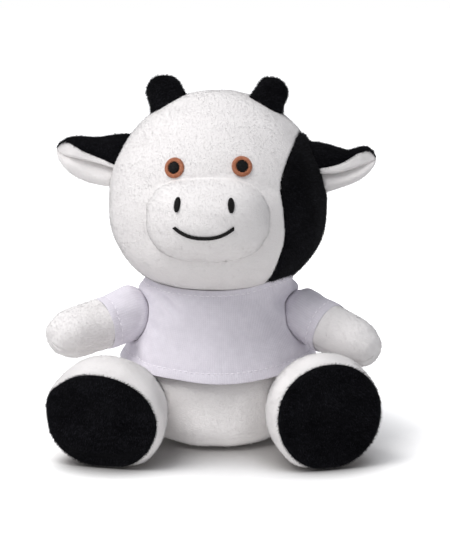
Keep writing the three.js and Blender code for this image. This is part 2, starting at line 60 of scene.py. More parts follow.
# %% Camera at the photograph's angle
MM = 0.001
IMAGE_WIDTH, IMAGE_HEIGHT = 450, 540
FOCAL_PIXELS = 2500
AIM_POINT = Vector((4, 0, 81.7)) * MM
CAMERA_ELEVATION = math.radians(10)
CAMERA_DISTANCE = 1250 * MM


def added(name, add, **settings):
    """Adds one object with nothing else selected, and names it."""
    bpy.ops.object.select_all(action="DESELECT")
    add(**settings)
    bpy.context.object.name = name
    return bpy.context.object


BACK_AND_UP = Vector((0, -math.cos(CAMERA_ELEVATION), math.sin(CAMERA_ELEVATION)))
camera = added(
    "photo_camera",
    bpy.ops.object.camera_add,
    location=AIM_POINT + CAMERA_DISTANCE * BACK_AND_UP,
    rotation=(math.pi / 2 - CAMERA_ELEVATION, 0, 0),
)
camera.data.lens = FOCAL_PIXELS / max(IMAGE_WIDTH, IMAGE_HEIGHT) * camera.data.sensor_width
camera.data.clip_start, camera.data.clip_end = 0.05, 50
bpy.context.scene.camera = camera
print("lens in mm:", round(camera.data.lens, 1))

# %% [markdown]
# ## Moving the points of a mesh
#
# A stuffed form is easiest to shape as a ball whose points are all moved by one rule, as a bag
# takes the shape of its pattern. These helpers read and write all points at once, in millimetres.


# %% Points of a mesh
def numbers(items, name):
    """Reads a property of three numbers from all items of a mesh at once."""
    flat = np.empty(len(items) * 3, np.float32)
    items.foreach_get(name, flat)
    return flat.reshape(-1, 3).astype(float)


def points_of(piece):
    return numbers(piece.data.vertices, "co") / MM


def place_points(piece, points):
    piece.data.vertices.foreach_set("co", (points * MM).astype(np.float32).ravel())
    piece.data.update()
    return piece


def normals_of(piece):
    return numbers(piece.data.vertex_normals, "vector")


def only(*pieces):
    """Selects these pieces and nothing else, the first one active."""
    bpy.ops.object.select_all(action="DESELECT")
    for piece in pieces:
        piece.select_set(True)
    bpy.context.view_layer.objects.active = pieces[0]
    return pieces[0]


def ramp(value, low, high):
    """0 below low, 1 above high, and a smooth slope between them."""
    share = np.clip((value - low) / (high - low), 0, 1)
    return share * share * (3 - 2 * share)


def hump(value, width):
    """1 where the value is 0, and next to nothing two widths away on either side."""
    return np.exp(-((value / width) ** 2))


def bulge(share, power):
    """The half width of a rounded form at a share of its half height: 2 is a circle's."""
    return np.power(np.clip(1 - np.abs(share) ** power, 0, None), 1 / power)


def share_at(table, along):
    """A smooth curve through the (along, share) rows of a table."""
    xs, ys = np.array(table, float).T
    rows = np.arange(len(xs))
    before, after = np.maximum(rows - 1, 0), np.minimum(rows + 1, len(xs) - 1)
    slopes = (ys[after] - ys[before]) / (xs[after] - xs[before])
    i = np.clip(np.searchsorted(xs, along, side="left") - 1, 0, len(xs) - 2)
    width = xs[i + 1] - xs[i]
    t = np.clip((along - xs[i]) / width, 0, 1)
    return (
        (2 * t**3 - 3 * t**2 + 1) * ys[i]
        + (t**3 - 2 * t**2 + t) * slopes[i] * width
        + (3 * t**2 - 2 * t**3) * ys[i + 1]
        + (t**3 - t**2) * slopes[i + 1] * width
    )


def unit(vectors):
    return vectors / np.maximum(np.linalg.norm(vectors, axis=-1, keepdims=True), 1e-9)


# %% [markdown]
# A ball made from a subdivided cube has even, four-sided cells all over. It suits forms that are
# round everywhere, such as the head. A ball of rings suits forms that are turned round an axis,
# such as a leg: each ring becomes one section of it.


# %% Two kinds of ball
def even_ball(name, cuts):
    """A unit ball of even four-sided cells."""
    ball = added(name, bpy.ops.mesh.primitive_cube_add, size=2)
    bpy.ops.object.mode_set(mode="EDIT")
    bpy.ops.mesh.select_all(action="SELECT")
    bpy.ops.mesh.subdivide(number_cuts=cuts)
    bpy.ops.object.mode_set(mode="OBJECT")
    corners = points_of(ball) * MM
    place_points(ball, unit(np.tan(corners * math.pi / 4)) / MM)
    bpy.ops.object.shade_smooth()
    return ball


def ring_ball(name, around, rings):
    """A unit ball of rings, with its poles on the Z axis."""
    ball = added(
        name, bpy.ops.mesh.primitive_uv_sphere_add, segments=around, ring_count=rings, radius=1
    )
    bpy.ops.object.shade_smooth()
    return ball


def turned(piece, profile):
    """Moves a ring ball's points onto a form turned round Z, from its (height, radius) profile."""
    profile = np.array(profile, float)
    steps = np.linalg.norm(np.diff(profile, axis=0), axis=1)
    along = np.concatenate([[0], np.cumsum(steps)]) / steps.sum()
    ball = points_of(piece) * MM
    share = np.arccos(np.clip(-ball[:, 2], -1, 1)) / math.pi
    bearing = np.arctan2(ball[:, 1], ball[:, 0])
    height = np.interp(share, along, profile[:, 0])
    radius = np.interp(share, along, profile[:, 1])
    return np.stack([radius * np.cos(bearing), radius * np.sin(bearing), height], 1)


# %% Changes to a whole piece
def applied(piece, kind, **settings):
    """Gives a piece one modifier and applies it."""
    only(piece)
    change = piece.modifiers.new(kind.title(), kind)
    for name, value in settings.items():
        setattr(change, name, value)
    bpy.ops.object.modifier_apply(modifier=change.name)
    return piece


def smooth_piece(piece, rounds, factor):
    """Evens out the cells, as a taut skin does over stuffing."""
    return applied(piece, "SMOOTH", factor=factor, iterations=rounds)


def subdivided(piece):
    return applied(piece, "SUBSURF", levels=1, render_levels=1)


def thickened(piece, wall):
    """Gives an open skin a closed wall on its inner side."""
    return applied(piece, "SOLIDIFY", thickness=wall * MM, offset=-1)


# %% [markdown]
# ## The places of the forms
#
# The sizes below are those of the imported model, in millimetres: how wide the torso is at each
# height, where the head sits, where each limb is hinged and which way it points.

# %% Sizes of the torso and the head
TORSO_HEIGHT, TORSO_HALF_WIDTH, BODY_BACK = 79, 46.5, 4
TORSO_SHARES = [
    (0, 0.58), (0.02, 0.7), (0.07, 0.85), (0.15, 0.945), (0.28, 1), (0.41, 0.975), (0.5, 0.925),
    (0.59, 0.87), (0.69, 0.81), (0.78, 0.77), (0.87, 0.735), (0.95, 0.69), (1, 0.65),
]
HEAD_CENTRE, HEAD_RADIUS, HEAD_CROWN, HEAD_CHIN, CHIN_POWER = 116.2, 53.5, 56, 44, 2.35
HEAD_DEPTH_SHARE, HEAD_TURN = 0.94, math.radians(-5.5)


def torso_radius(z):
    return TORSO_HALF_WIDTH * share_at(TORSO_SHARES, z / TORSO_HEIGHT)


def torso_depth(z):
    return 0.83 + 0.09 * ramp(z, 0.6 * TORSO_HEIGHT, 0.93 * TORSO_HEIGHT)


def head_depth(z):
    low, high = HEAD_CENTRE - 0.75 * HEAD_CHIN, HEAD_CENTRE - 0.2 * HEAD_CHIN
    return 1 - (1 - HEAD_DEPTH_SHARE) * ramp(z, low, high)


def head_rise(z):
    """The share of the way from the head's centre up to its crown or, below 0, down to its chin."""
    high = np.asarray(z, float) - HEAD_CENTRE
    return high / np.where(high < 0, HEAD_CHIN, HEAD_CROWN)


def head_half_width(rise):
    over = bulge(np.minimum(1, rise), 2)
    under = bulge(np.minimum(1, -rise), CHIN_POWER)
    return HEAD_RADIUS * np.where(rise >= 0, over, under)


def head_front(x, z):
    """The front of the head's skin at a place across the face and a height."""
    x, z = np.asarray(x, float), np.asarray(z, float)
    half = head_half_width(head_rise(z))
    return np.stack([x, -head_depth(z) * np.sqrt(np.maximum(half**2 - x**2, 0)), z], -1)


def head_share(points, grow=0):
    """1 on the head's skin, less inside it, for points in the head's own frame."""
    high = points[:, 2] - HEAD_CENTRE
    across = np.hypot(points[:, 0], points[:, 1] / head_depth(points[:, 2])) / (HEAD_RADIUS + grow)
    over = np.hypot(across, high / (HEAD_CROWN + grow))
    sum_under = across**CHIN_POWER + np.abs(high / (HEAD_CHIN + grow)) ** CHIN_POWER
    return np.where(high >= 0, over, sum_under ** (1 / CHIN_POWER))


def out_of_head(points, grow):
    """Pushes points that lie inside the head out onto its skin, grown by a clearance."""
    share = head_share(points, grow)
    centre = np.array([0, 0, HEAD_CENTRE])
    pushed = centre + (points - centre) / np.maximum(share, 0.05)[:, None]
    return np.where((share < 1)[:, None], pushed, points)


def turned_level(rows, angle):
    """Turns points or directions about the upright axis."""
    c, s = math.cos(angle), math.sin(angle)
    x, y, z = np.asarray(rows, float).T
    return np.stack([c * x - s * y, s * x + c * y, z], 1)


def turn_to_body(points):
    """From the head's own frame to the toy's."""
    return turned_level(points, HEAD_TURN) - [0, BODY_BACK, 0]


def turn_to_head(points):
    return turned_level(points + np.array([0, BODY_BACK, 0]), -HEAD_TURN)


# %% Places of the limbs
SIDES = {"left": 1, "right": -1}
PRESSED_IN, HIP_HEIGHT, SHOULDER_HEIGHT = 0.5, 22, 61


def heading(side, bearing, droop):
    """A direction: the bearing is counted outwards from straight ahead, the droop downwards."""
    bearing, droop = math.radians(bearing), math.radians(droop)
    level = math.cos(droop)
    return np.array(
        [SIDES[side] * math.sin(bearing) * level, -math.cos(bearing) * level, -math.sin(droop)]
    )


def off_torso(side, bearing, z, stand_off):
    out = heading(side, bearing, 0)
    half_width = float(torso_radius(z))
    half_depth = half_width * float(torso_depth(z))
    reach = math.hypot(half_width * out[0], half_depth * out[1])
    foot = np.array([half_width**2 * out[0] / reach, half_depth**2 * out[1] / reach - BODY_BACK, z])
    return foot + stand_off * out


SHOULDER = {side: off_torso(side, 76, SHOULDER_HEIGHT, 9.3) for side in SIDES}
ARM_WAY = {"left": heading("left", 52, 18.5), "right": heading("right", 58, 10)}
ARM_RADIUS, ARM_LENGTH, SLEEVE_RADIUS, SLEEVE_LENGTH = 11, 44.5, 12.5, 15.2
HIP = {side: off_torso(side, 43, HIP_HEIGHT, 10) for side in SIDES}
HIP_RADIUS, LEG_LENGTH, SOLE_RADIUS = 16.5, 45.5, 27.2
SOLE_TILT = {"left": math.radians(10), "right": math.radians(26)}


def leg_way(side):
    """A leg rises just so far that its tilted sole's lower edge is pressed on the floor."""
    sole_height = SOLE_RADIUS * math.cos(SOLE_TILT[side]) - PRESSED_IN
    rise = math.asin((sole_height - HIP_HEIGHT) / LEG_LENGTH)
    return heading(side, 17.5, -math.degrees(rise))


LEG_WAY = {side: leg_way(side) for side in SIDES}
print("shoulder:", SHOULDER["left"].round(2), " hip:", HIP["left"].round(2))


def aimed(points, direction, pivot):
    """Turns a form's own Z onto a direction, its own X as near to straight up as it can be."""
    z = unit(np.asarray(direction, float))
    y = unit(np.cross(z, [0, 0, 1]))
    x = np.cross(y, z)
    return points @ np.stack([x, y, z]) + pivot


# %% [markdown]
# ## Finishes
#
# Plush is a knitted backing with thousands of short fibres standing on it. From arm's length it
# shows as a matt cloth with small clumps and brushed streaks, and its edges catch the light. One
# node group makes the clumps and streaks, and each plush places it with its own two tones.


# %% Nodes in few words
def link(tree, source, target):
    tree.links.new(source, target)


def node(tree, kind, inputs=None, **settings):
    """Adds a shader node. An input may be a value, a socket or another node's first output."""
    made = tree.nodes.new(f"ShaderNode{kind}")
    for name, value in settings.items():
        setattr(made, name, value)
    for name, value in (inputs or {}).items():
        if isinstance(value, bpy.types.Node):
            value = value.outputs[0]
        if isinstance(value, bpy.types.NodeSocket):
            link(tree, value, made.inputs[name])
        else:
            made.inputs[name].default_value = value
    return made


def maths(tree, operation, *values):
    return node(tree, "Math", dict(enumerate(values)), operation=operation)


def object_place(tree):
    return node(tree, "TexCoord").outputs["Object"]


def two_tone(tree, share, first, second):
    """A colour between two, each given as three numbers or as a socket."""
    first, second = ((*c, 1) if isinstance(c, tuple) else c for c in (first, second))
    return node(tree, "Mix", {"Factor": share, 6: first, 7: second}, data_type="RGBA").outputs[2]


# %% The pile pattern, shared by the plushes
def pile_pattern():
    tree = bpy.data.node_groups.new("Pile Pattern", "ShaderNodeTree")
    for name, kind, way in (
        ("Light", "Color", "INPUT"), ("Dark", "Color", "INPUT"), ("Clump Size", "Float", "INPUT"),
        ("Streak", "Float", "INPUT"), ("Contrast", "Float", "INPUT"),
        ("Colour", "Color", "OUTPUT"), ("Height", "Float", "OUTPUT"),
    ):
        tree.interface.new_socket(name, in_out=way, socket_type=f"NodeSocket{kind}")
    given = tree.nodes.new("NodeGroupInput").outputs
    out = tree.nodes.new("NodeGroupOutput").inputs
    place = object_place(tree)
    stretch = node(tree, "CombineXYZ", {"X": 1, "Y": 1, "Z": given["Streak"]})
    combed = node(tree, "VectorMath", {0: place, 1: stretch}, operation="MULTIPLY")
    per_metre = maths(tree, "DIVIDE", 1 / MM, given["Clump Size"])
    clumps = node(
        tree, "TexNoise",
        {"Vector": combed, "Scale": per_metre, "Detail": 3, "Roughness": 0.6, "Distortion": 0.4},
    )
    brushed = node(tree, "TexNoise", {"Vector": place, "Scale": 70, "Detail": 2})
    both = node(tree, "Mix", {"Factor": 0.35, 2: clumps.outputs["Fac"], 3: brushed.outputs["Fac"]})
    spread = node(tree, "MapRange", {"Value": both, "From Min": 0.3, "From Max": 0.7})
    shade = maths(tree, "MULTIPLY", maths(tree, "SUBTRACT", 1, spread), given["Contrast"])
    link(tree, two_tone(tree, shade, given["Light"], given["Dark"]), out["Colour"])
    link(tree, clumps.outputs["Fac"], out["Height"])
    return tree


PILE = pile_pattern()
print("group inputs:", [item.name for item in PILE.interface.items_tree if item.in_out == "INPUT"])


# %% Plush materials
def new_material(name, roughness, sheen=0.0, sheen_roughness=0.5, specular=0.5):
    material = bpy.data.materials.new(name)
    material.use_nodes = True
    shader = material.node_tree.nodes["Principled BSDF"]
    shader.inputs["Roughness"].default_value = roughness
    shader.inputs["Sheen Weight"].default_value = sheen
    shader.inputs["Sheen Roughness"].default_value = sheen_roughness
    shader.inputs["Specular IOR Level"].default_value = specular
    return material, material.node_tree, shader


def pile_tones(tree, light, dark, clump, streak, contrast):
    """Places the shared pattern. Clump sizes are in millimetres."""
    return node(
        tree, "Group",
        {"Light": (*light, 1), "Dark": (*dark, 1), "Clump Size": clump, "Streak": streak,
         "Contrast": contrast},
        node_tree=PILE,
    ).outputs


def raised(tree, shader, height, distance, strength):
    """Gives a shader the small relief of a pattern, its distance in millimetres."""
    bump = node(tree, "Bump", {"Distance": distance * MM, "Strength": strength, "Height": height})
    link(tree, bump.outputs[0], shader.inputs["Normal"])


def plush(name, light, dark, clump, streak, contrast, relief, sheen, specular):
    material, tree, shader = new_material(name, 0.95, sheen, 0.45, specular)
    pattern = pile_tones(tree, light, dark, clump, streak, contrast)
    link(tree, pattern["Colour"], shader.inputs["Base Color"])
    raised(tree, shader, pattern["Height"], relief, 0.6)
    return material


WHITE_PLUSH = plush(
    "white_plush", (0.87, 0.845, 0.835), (0.79, 0.765, 0.755), 1.1, 1.6, 0.6, 0.45, 0.15, 0.1
)
BLACK_PLUSH = plush(
    "black_plush", (0.008, 0.008, 0.0095), (0.0006, 0.0006, 0.0009), 1.8, 3.0, 1.0, 0.7, 0.02, 0.04
)
print("plushes:", WHITE_PLUSH.name, BLACK_PLUSH.name)


# %% [markdown]
# Jersey is a fine knit. Its loops stand in upright columns about half a millimetre apart, so it
# reads as faint vertical lines over a smooth, slightly blue white. The pattern follows the cloth's
# own UV map, which holds real millimetres, because the columns bend with the cloth.

# %% Jersey and threads
COLUMNS_PER_MM, ROWS_PER_MM = 0.85, 1.05


def jersey_material():
    material, tree, shader = new_material("jersey", 0.9, 0.12, 0.5, 0.2)
    flat = node(tree, "UVMap", uv_map="cloth")
    split = node(tree, "SeparateXYZ", {0: flat}).outputs

    def wave(value, per_mm):
        return maths(tree, "SINE", maths(tree, "MULTIPLY", value, per_mm * 2 * math.pi))

    columns, rows = wave(split["X"], COLUMNS_PER_MM), wave(split["Y"], ROWS_PER_MM)
    loops = maths(tree, "MULTIPLY_ADD", rows, 0.4, columns)
    yarn = node(tree, "TexNoise", {"Scale": 350, "Detail": 3, "Vector": object_place(tree)})
    uneven = maths(tree, "MULTIPLY_ADD", loops, 0.12, yarn.outputs["Fac"])
    tone = two_tone(tree, uneven, (0.66, 0.63, 0.69), (0.79, 0.76, 0.82))
    link(tree, tone, shader.inputs["Base Color"])
    raised(tree, shader, loops, 0.06, 0.5)
    return material


def thread_material(name, light, dark, roughness, specular=0.35):
    """Smooth embroidery thread, lighter and darker from strand to strand."""
    material, tree, shader = new_material(name, roughness, 0, 0.3, specular)
    strand = node(tree, "TexNoise", {"Scale": 900, "Vector": object_place(tree)})
    tone = two_tone(tree, strand.outputs["Fac"], dark, light)
    link(tree, tone, shader.inputs["Base Color"])
    return material


JERSEY = jersey_material()
COPPER_THREAD = thread_material("copper_thread", (0.56, 0.21, 0.105), (0.2, 0.065, 0.03), 0.5)
BLACK_THREAD = thread_material(
    "black_thread", (0.013, 0.012, 0.012), (0.0006, 0.0006, 0.0006), 0.5, 0.1
)
STITCH_THREAD = thread_material("stitch_thread", (0.93, 0.90, 0.95), (0.84, 0.81, 0.86), 0.7)
print("materials:", len(bpy.data.materials))


# %% [markdown]
# ## Finishing a piece
#
# Every piece is given its material and the body that carries it, and the imported parts it
# stands for are hidden.


def finished(piece, body, finish, stands_for=()):
    piece.data.materials.clear()
    piece.data.materials.append(finish)
    if body:
        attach(piece, body)
    if stands_for:
        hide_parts(*stands_for)
    print(piece.name, "faces:", len(piece.data.polygons))
    return piece


# %% [markdown]
# ## Stuffing
#
# Filling pushes a bag outwards, and the seams hold it back. Blender's cloth does the same: a
# little pressure inside, no gravity, and the points of the seams pinned. How far a point may move
# is capped, so that the bag stays the size of its pattern.


# %% Stuff a bag
STUFFING_FRAMES = 20


def stuff(bag, seam, pressure, cap):
    """seam gives 1 where a sewn seam holds the cloth still, and 0 where it is free."""
    only(bag)
    before = points_of(bag)
    held = bag.vertex_groups.new(name="seam")
    for index, weight in enumerate(seam):
        if weight > 0.02:
            held.add([index], float(weight), "REPLACE")
    cloth = bag.modifiers.new("Stuffing", "CLOTH")
    cloth.settings.quality = 6
    cloth.settings.mass = 0.1
    cloth.settings.tension_stiffness = cloth.settings.compression_stiffness = 20
    cloth.settings.bending_stiffness = 0.3
    cloth.settings.use_pressure = True
    cloth.settings.uniform_pressure_force = pressure
    cloth.settings.vertex_group_mass = held.name
    cloth.settings.effector_weights.gravity = 0
    cloth.collision_settings.use_collision = False
    cloth.point_cache.frame_start, cloth.point_cache.frame_end = 1, STUFFING_FRAMES
    for step in range(1, STUFFING_FRAMES + 1):
        bpy.context.scene.frame_set(step)
    bpy.ops.object.modifier_apply(modifier=cloth.name)
    moved = points_of(bag) - before
    length = np.linalg.norm(moved, axis=1, keepdims=True)
    print(bag.name, "swelled by up to", round(float(length.max()), 2), "mm before the cap")
    place_points(bag, before + moved * np.minimum(1, cap / np.maximum(length, 1e-6)))
    bag.vertex_groups.clear()
    return bag


# %% [markdown]
# ## Pile
#
# A smooth surface with a bump still has a hard outline, and plush never does. So small tufts are
# scattered over each plush piece: thin closed spikes rooted under the skin, leaning the way the
# pile is brushed. They take the skin's own normals, so that they are lit as one soft cloth. The
# scatter is seeded and follows the faces in their order. Blender lists the faces of a ball of rings
# in another order each time, so there single tufts shift between runs, while the form stays.


# %% Tufts over a skin
def triangles_of(mesh):
    """The three points of every triangle of a mesh, as rows of indices."""
    mesh.calc_loop_triangles()
    corners = np.empty(len(mesh.loop_triangles) * 3, np.int32)
    mesh.loop_triangles.foreach_get("vertices", corners)
    return corners.reshape(-1, 3)


def surface_samples(piece, per_mm2, rng):
    """Evenly spread places on a mesh, with the skin's normal at each."""
    corners = triangles_of(piece.data)
    points, normals = points_of(piece), normals_of(piece)
    a, b, c = (points[corners[:, i]] for i in range(3))
    area = np.linalg.norm(np.cross(b - a, c - a), axis=1) / 2
    count = int(area.sum() * per_mm2)
    along = (np.arange(count) + rng.random(count)) / count * area.sum()
    chosen = np.minimum(np.searchsorted(np.cumsum(area), along), len(area) - 1)
    u, v = rng.random(count), rng.random(count)
    flip = u + v > 1
    u, v = np.where(flip, 1 - u, u), np.where(flip, 1 - v, v)
    shares = np.stack([1 - u - v, u, v], 1)[:, :, None]
    at = corners[chosen]
    return (points[at] * shares).sum(1), unit((normals[at] * shares).sum(1))


def swirl(points, size, seed):
    """A smooth vector noise from a few slow waves, the same for the same seed."""
    rng = np.random.default_rng(seed)
    total = np.zeros_like(points)
    for _ in range(6):
        wave = rng.normal(size=3)
        wave /= np.linalg.norm(wave) * size * rng.uniform(0.6, 1.6)
        phase = points @ wave * 2 * math.pi + rng.uniform(0, 6.28)
        total += np.sin(phase)[:, None] * rng.normal(size=3)
    return total / 3


def new_mesh(name, mesh):
    made = bpy.data.objects.new(name, mesh)
    bpy.context.scene.collection.objects.link(made)
    return made


def tuft_mesh(name, points):
    """A mesh of three-sided spikes, from the three feet and the tip of each."""
    base = 4 * np.arange(len(points) // 4)[:, None, None]
    faces = (base + np.array([[0, 1, 3], [1, 2, 3], [2, 0, 3], [0, 2, 1]])).reshape(-1, 3)
    mesh = bpy.data.meshes.new(name)
    mesh.vertices.add(len(points))
    mesh.vertices.foreach_set("co", (points * MM).astype(np.float32).ravel())
    mesh.loops.add(3 * len(faces))
    mesh.loops.foreach_set("vertex_index", faces.astype(np.int32).ravel())
    mesh.polygons.add(len(faces))
    mesh.polygons.foreach_set("loop_start", 3 * np.arange(len(faces), dtype=np.int32))
    mesh.polygons.foreach_set("use_smooth", np.ones(len(faces), bool))
    mesh.update(calc_edges=True)
    return mesh


ROOT_DEPTH, OFF_FLOOR = 0.3, 0.02


def pile(piece, name, per_mm2, length, width, lean, seed, bare, comb):
    """A piece of tufts over another piece. bare is true at places that have none."""
    rng = np.random.default_rng(seed)
    roots, normals = surface_samples(piece, per_mm2, rng)
    if bare is not None:
        grown = ~bare(roots)
        roots, normals = roots[grown], normals[grown]
    count = len(roots)
    way = np.array(comb, float) + 0.55 * swirl(roots, 14, seed) + 0.45 * rng.normal(size=(count, 3))
    way = unit(way - (way * normals).sum(1, keepdims=True) * normals)
    tilt = np.radians(lean + 12 * rng.normal(size=count))[:, None]
    long = (length * rng.uniform(0.65, 1.3, count))[:, None]
    tips = roots + long * (normals * np.cos(tilt) + way * np.sin(tilt))
    across = np.cross(normals, way)
    wide = (width * rng.uniform(0.8, 1.25, count))[:, None]
    sunk = roots - ROOT_DEPTH * normals
    feet = [
        sunk + wide * (math.cos(turn) * way + math.sin(turn) * across)
        for turn in (0, 2 * math.pi / 3, 4 * math.pi / 3)
    ]
    points = np.stack([*feet, tips], 1).reshape(-1, 3)
    points[:, 2] = np.maximum(points[:, 2], OFF_FLOOR)
    mesh = tuft_mesh(name, points)
    own = mesh.attributes.new("tuft", "FLOAT", "POINT")
    own.data.foreach_set("value", np.repeat(rng.random(count), 4).astype(np.float32))
    mesh.normals_split_custom_set_from_vertices(np.repeat(normals, 4, axis=0))
    return new_mesh(name, mesh)


# %% Materials of the tufts
def pile_material(name, light, dark, clump, contrast, own_share, sheen, specular):
    """Each tuft has its own tone between two, by the number it was given."""
    material, tree, shader = new_material(name, 0.95, sheen, 0.45, specular)
    own = node(tree, "Attribute", attribute_name="tuft").outputs["Fac"]
    pattern = pile_tones(tree, light, dark, clump, 2.5, contrast)
    share = maths(tree, "MULTIPLY", own, own_share)
    link(tree, two_tone(tree, share, pattern["Colour"], dark), shader.inputs["Base Color"])
    return material


WHITE_PILE = pile_material(
    "white_pile", (0.87, 0.845, 0.835), (0.8, 0.775, 0.765), 4, 0.35, 0.3, 0.15, 0.05
)
BLACK_PILE = pile_material(
    "black_pile", (0.036, 0.0355, 0.044), (0.0005, 0.0005, 0.0009), 3.2, 1.0, 0.85, 0.035, 0.045
)


# tufts to a square millimetre, their length and width in millimetres, their lean in degrees
WHITE_TUFTS = {"per_mm2": 1.5, "length": 0.95, "width": 0.2, "lean": 60}
BLACK_TUFTS = {"per_mm2": 3.0, "length": 1.35, "width": 0.19, "lean": 44}


def with_pile(
    piece, body, finish, stands_for=(), bare=None, length=None, seed=1, comb=(0, 0, -1)
):
    """Finishes a plush piece and grows its pile."""
    white = finish is WHITE_PLUSH
    finished(piece, body, finish, stands_for)
    sizes = dict(WHITE_TUFTS if white else BLACK_TUFTS)
    if length:
        sizes["length"] = length
    tufts = pile(piece, f"{piece.name}_pile", seed=seed, bare=bare, comb=comb, **sizes)
    finished(tufts, body, WHITE_PILE if white else BLACK_PILE)
    return piece


# %% [markdown]
# ## Head
#
# The head is the largest bag: round above, a little flatter under the chin and from front to back.
# Its left side is a black panel sewn in, so the white skin dips where the panel lies, and the panel
# is a shell of its own whose edge rolls down into the seam.

# %% Seam of the black panel
PANEL_SEAM = [
    (-1, 0.37), (-0.84, 0.477), (-0.69, 0.566), (-0.44, 0.654), (-0.25, 0.688), (0.03, 0.678),
    (0.25, 0.658), (0.37, 0.673), (0.51, 0.72), (0.67, 0.785), (0.8, 0.88),
]


def past_seam(points):
    """How far a point of the head lies past the panel's seam, towards the toy's left."""
    return points[:, 0] - HEAD_RADIUS * share_at(PANEL_SEAM, head_rise(points[:, 2]))


def head_form(ball):
    """Moves a unit ball's points onto the head's skin, in the head's own frame."""
    way = points_of(ball) * MM
    rise = np.where(way[:, 2] < 0, -np.abs(way[:, 2]) ** 1.1, way[:, 2])
    z = HEAD_CENTRE + rise * np.where(way[:, 2] < 0, HEAD_CHIN, HEAD_CROWN)
    radius = head_half_width(rise)
    bearing = np.arctan2(way[:, 1], way[:, 0])
    points = np.stack([radius * np.cos(bearing), radius * np.sin(bearing) * head_depth(z), z], 1)
    return place_points(ball, points)


MUZZLE_HALF = np.array([29.5, 22, 20.5])
MUZZLE_CENTRE = np.array([0, 7.3 - HEAD_RADIUS * HEAD_DEPTH_SHARE, 114.7])
MUZZLE_POWER = 2.5


def squarish(x, z, power):
    length = np.maximum(np.hypot(x, z), 1e-9)
    return (np.abs(x / length) ** power + np.abs(z / length) ** power) ** (-1 / power)


def muzzle_share(points):
    """1 on the muzzle's skin, less inside it."""
    local = (points - MUZZLE_CENTRE) / MUZZLE_HALF
    flat = np.hypot(local[:, 0], local[:, 2]) / squarish(local[:, 0], local[:, 2], MUZZLE_POWER)
    return np.hypot(flat, local[:, 1])


def brow_dip(points):
    """How far the muzzle's seam draws the face in just above it."""
    away = 22 * np.clip(muzzle_share(points) - 1, 0, None)
    return 1.5 * hump(away, 9) * ramp(points[:, 2], 122, 131) * (points[:, 1] < 0)


def face_front(x, z):
    """The front of the head's skin with the dip above the muzzle."""
    front = head_front(x, z)
    rows = front.reshape(-1, 3).copy()
    rows[:, 1] += brow_dip(rows)
    return rows.reshape(front.shape)


# %% White skin of the head
PANEL_FURROW, MUZZLE_FURROW, BACK_FURROW = 1.9, 0.15, 0.5

head = even_ball("head_skin", 46)
head_form(head)
stuff(head, ramp(-points_of(head)[:, 2], -84, -78), pressure=3, cap=0.8)
subdivided(head)
head_whole = points_of(head)
head_normals = normals_of(head)
off_muzzle = np.abs(muzzle_share(head_whole) - 1) * 20
dip = PANEL_FURROW * ramp(past_seam(head_whole), -1.3, 0.9) + MUZZLE_FURROW * hump(off_muzzle, 1.5)
dip += brow_dip(head_whole)
back_seam = hump(head_whole[:, 0], 0.8) * (head_whole[:, 1] > 0)
lumps = swirl(head_whole, 26, 5)[:, 0] * 0.35
head_whole = head_whole + head_normals * lumps[:, None]
drawn_in = head_normals * (dip + BACK_FURROW * back_seam)[:, None]
place_points(head, turn_to_body(head_whole - drawn_in))
print("head points:", len(head_whole))


# %% Black panel of the head
def keep_faces(piece, keep):
    """Deletes the faces for which keep is false."""
    only(piece)
    bpy.ops.object.mode_set(mode="EDIT")
    bpy.ops.mesh.select_mode(type="FACE")
    bpy.ops.mesh.select_all(action="DESELECT")
    bpy.ops.object.mode_set(mode="OBJECT")
    piece.data.polygons.foreach_set("select", ~keep)
    bpy.ops.object.mode_set(mode="EDIT")
    bpy.ops.mesh.delete(type="FACE")
    bpy.ops.object.mode_set(mode="OBJECT")


def face_centres(piece):
    return numbers(piece.data.polygons, "center") / MM


def rim_of(piece):
    """True for the points on the open edge of a mesh."""
    mesh = piece.data
    uses = np.zeros(len(mesh.edges), int)
    loops = np.empty(len(mesh.loops), np.int32)
    mesh.loops.foreach_get("edge_index", loops)
    np.add.at(uses, loops, 1)
    ends = np.empty(len(mesh.edges) * 2, np.int32)
    mesh.edges.foreach_get("vertices", ends)
    rim = np.zeros(len(mesh.vertices), bool)
    rim[ends.reshape(-1, 2)[uses == 1]] = True
    return rim


def copy_of(piece, name):
    only(piece)
    bpy.ops.object.duplicate()
    bpy.context.object.name = name
    return bpy.context.object


panel = copy_of(head, "head_panel_skin")
place_points(panel, head_whole)
keep_faces(panel, past_seam(face_centres(panel)) > 0)
points = points_of(panel)
points[:, 0] += np.where(rim_of(panel), np.clip(-past_seam(points), -1.2, 1.2), 0)
place_points(panel, points)
smooth_piece(panel, 2, 0.3)
points, normals = points_of(panel), normals_of(panel)
lift = -1.0 + 1.35 * ramp(past_seam(points), 0, 2.2)
place_points(panel, turn_to_body(points + normals * lift[:, None]))
thickened(panel, 0.8)
print("panel points:", len(panel.data.vertices))

# %% [markdown]
# ## Muzzle
#
# The muzzle is a shallow stuffed dome, wider than high, sewn onto the face all round its edge. Its
# ball is squared off a little, and the points that would lie inside the head follow its skin.

# %% Muzzle
muzzle = even_ball("muzzle_skin", 34)
way = points_of(muzzle) * MM
spread = squarish(way[:, 0], way[:, 2], MUZZLE_POWER)
way[:, 0] *= spread
way[:, 2] *= spread
place_points(muzzle, out_of_head(MUZZLE_CENTRE + way * MUZZLE_HALF, -1.5))
smooth_piece(muzzle, 3, 0.4)
stuff(muzzle, ramp(-head_share(points_of(muzzle), 0.5), -1.01, -0.99), pressure=3, cap=0.6)
subdivided(muzzle)
points = points_of(muzzle)
points += normals_of(muzzle) * (swirl(points, 15, 9)[:, :1] * 0.2)
place_points(muzzle, turn_to_body(points))


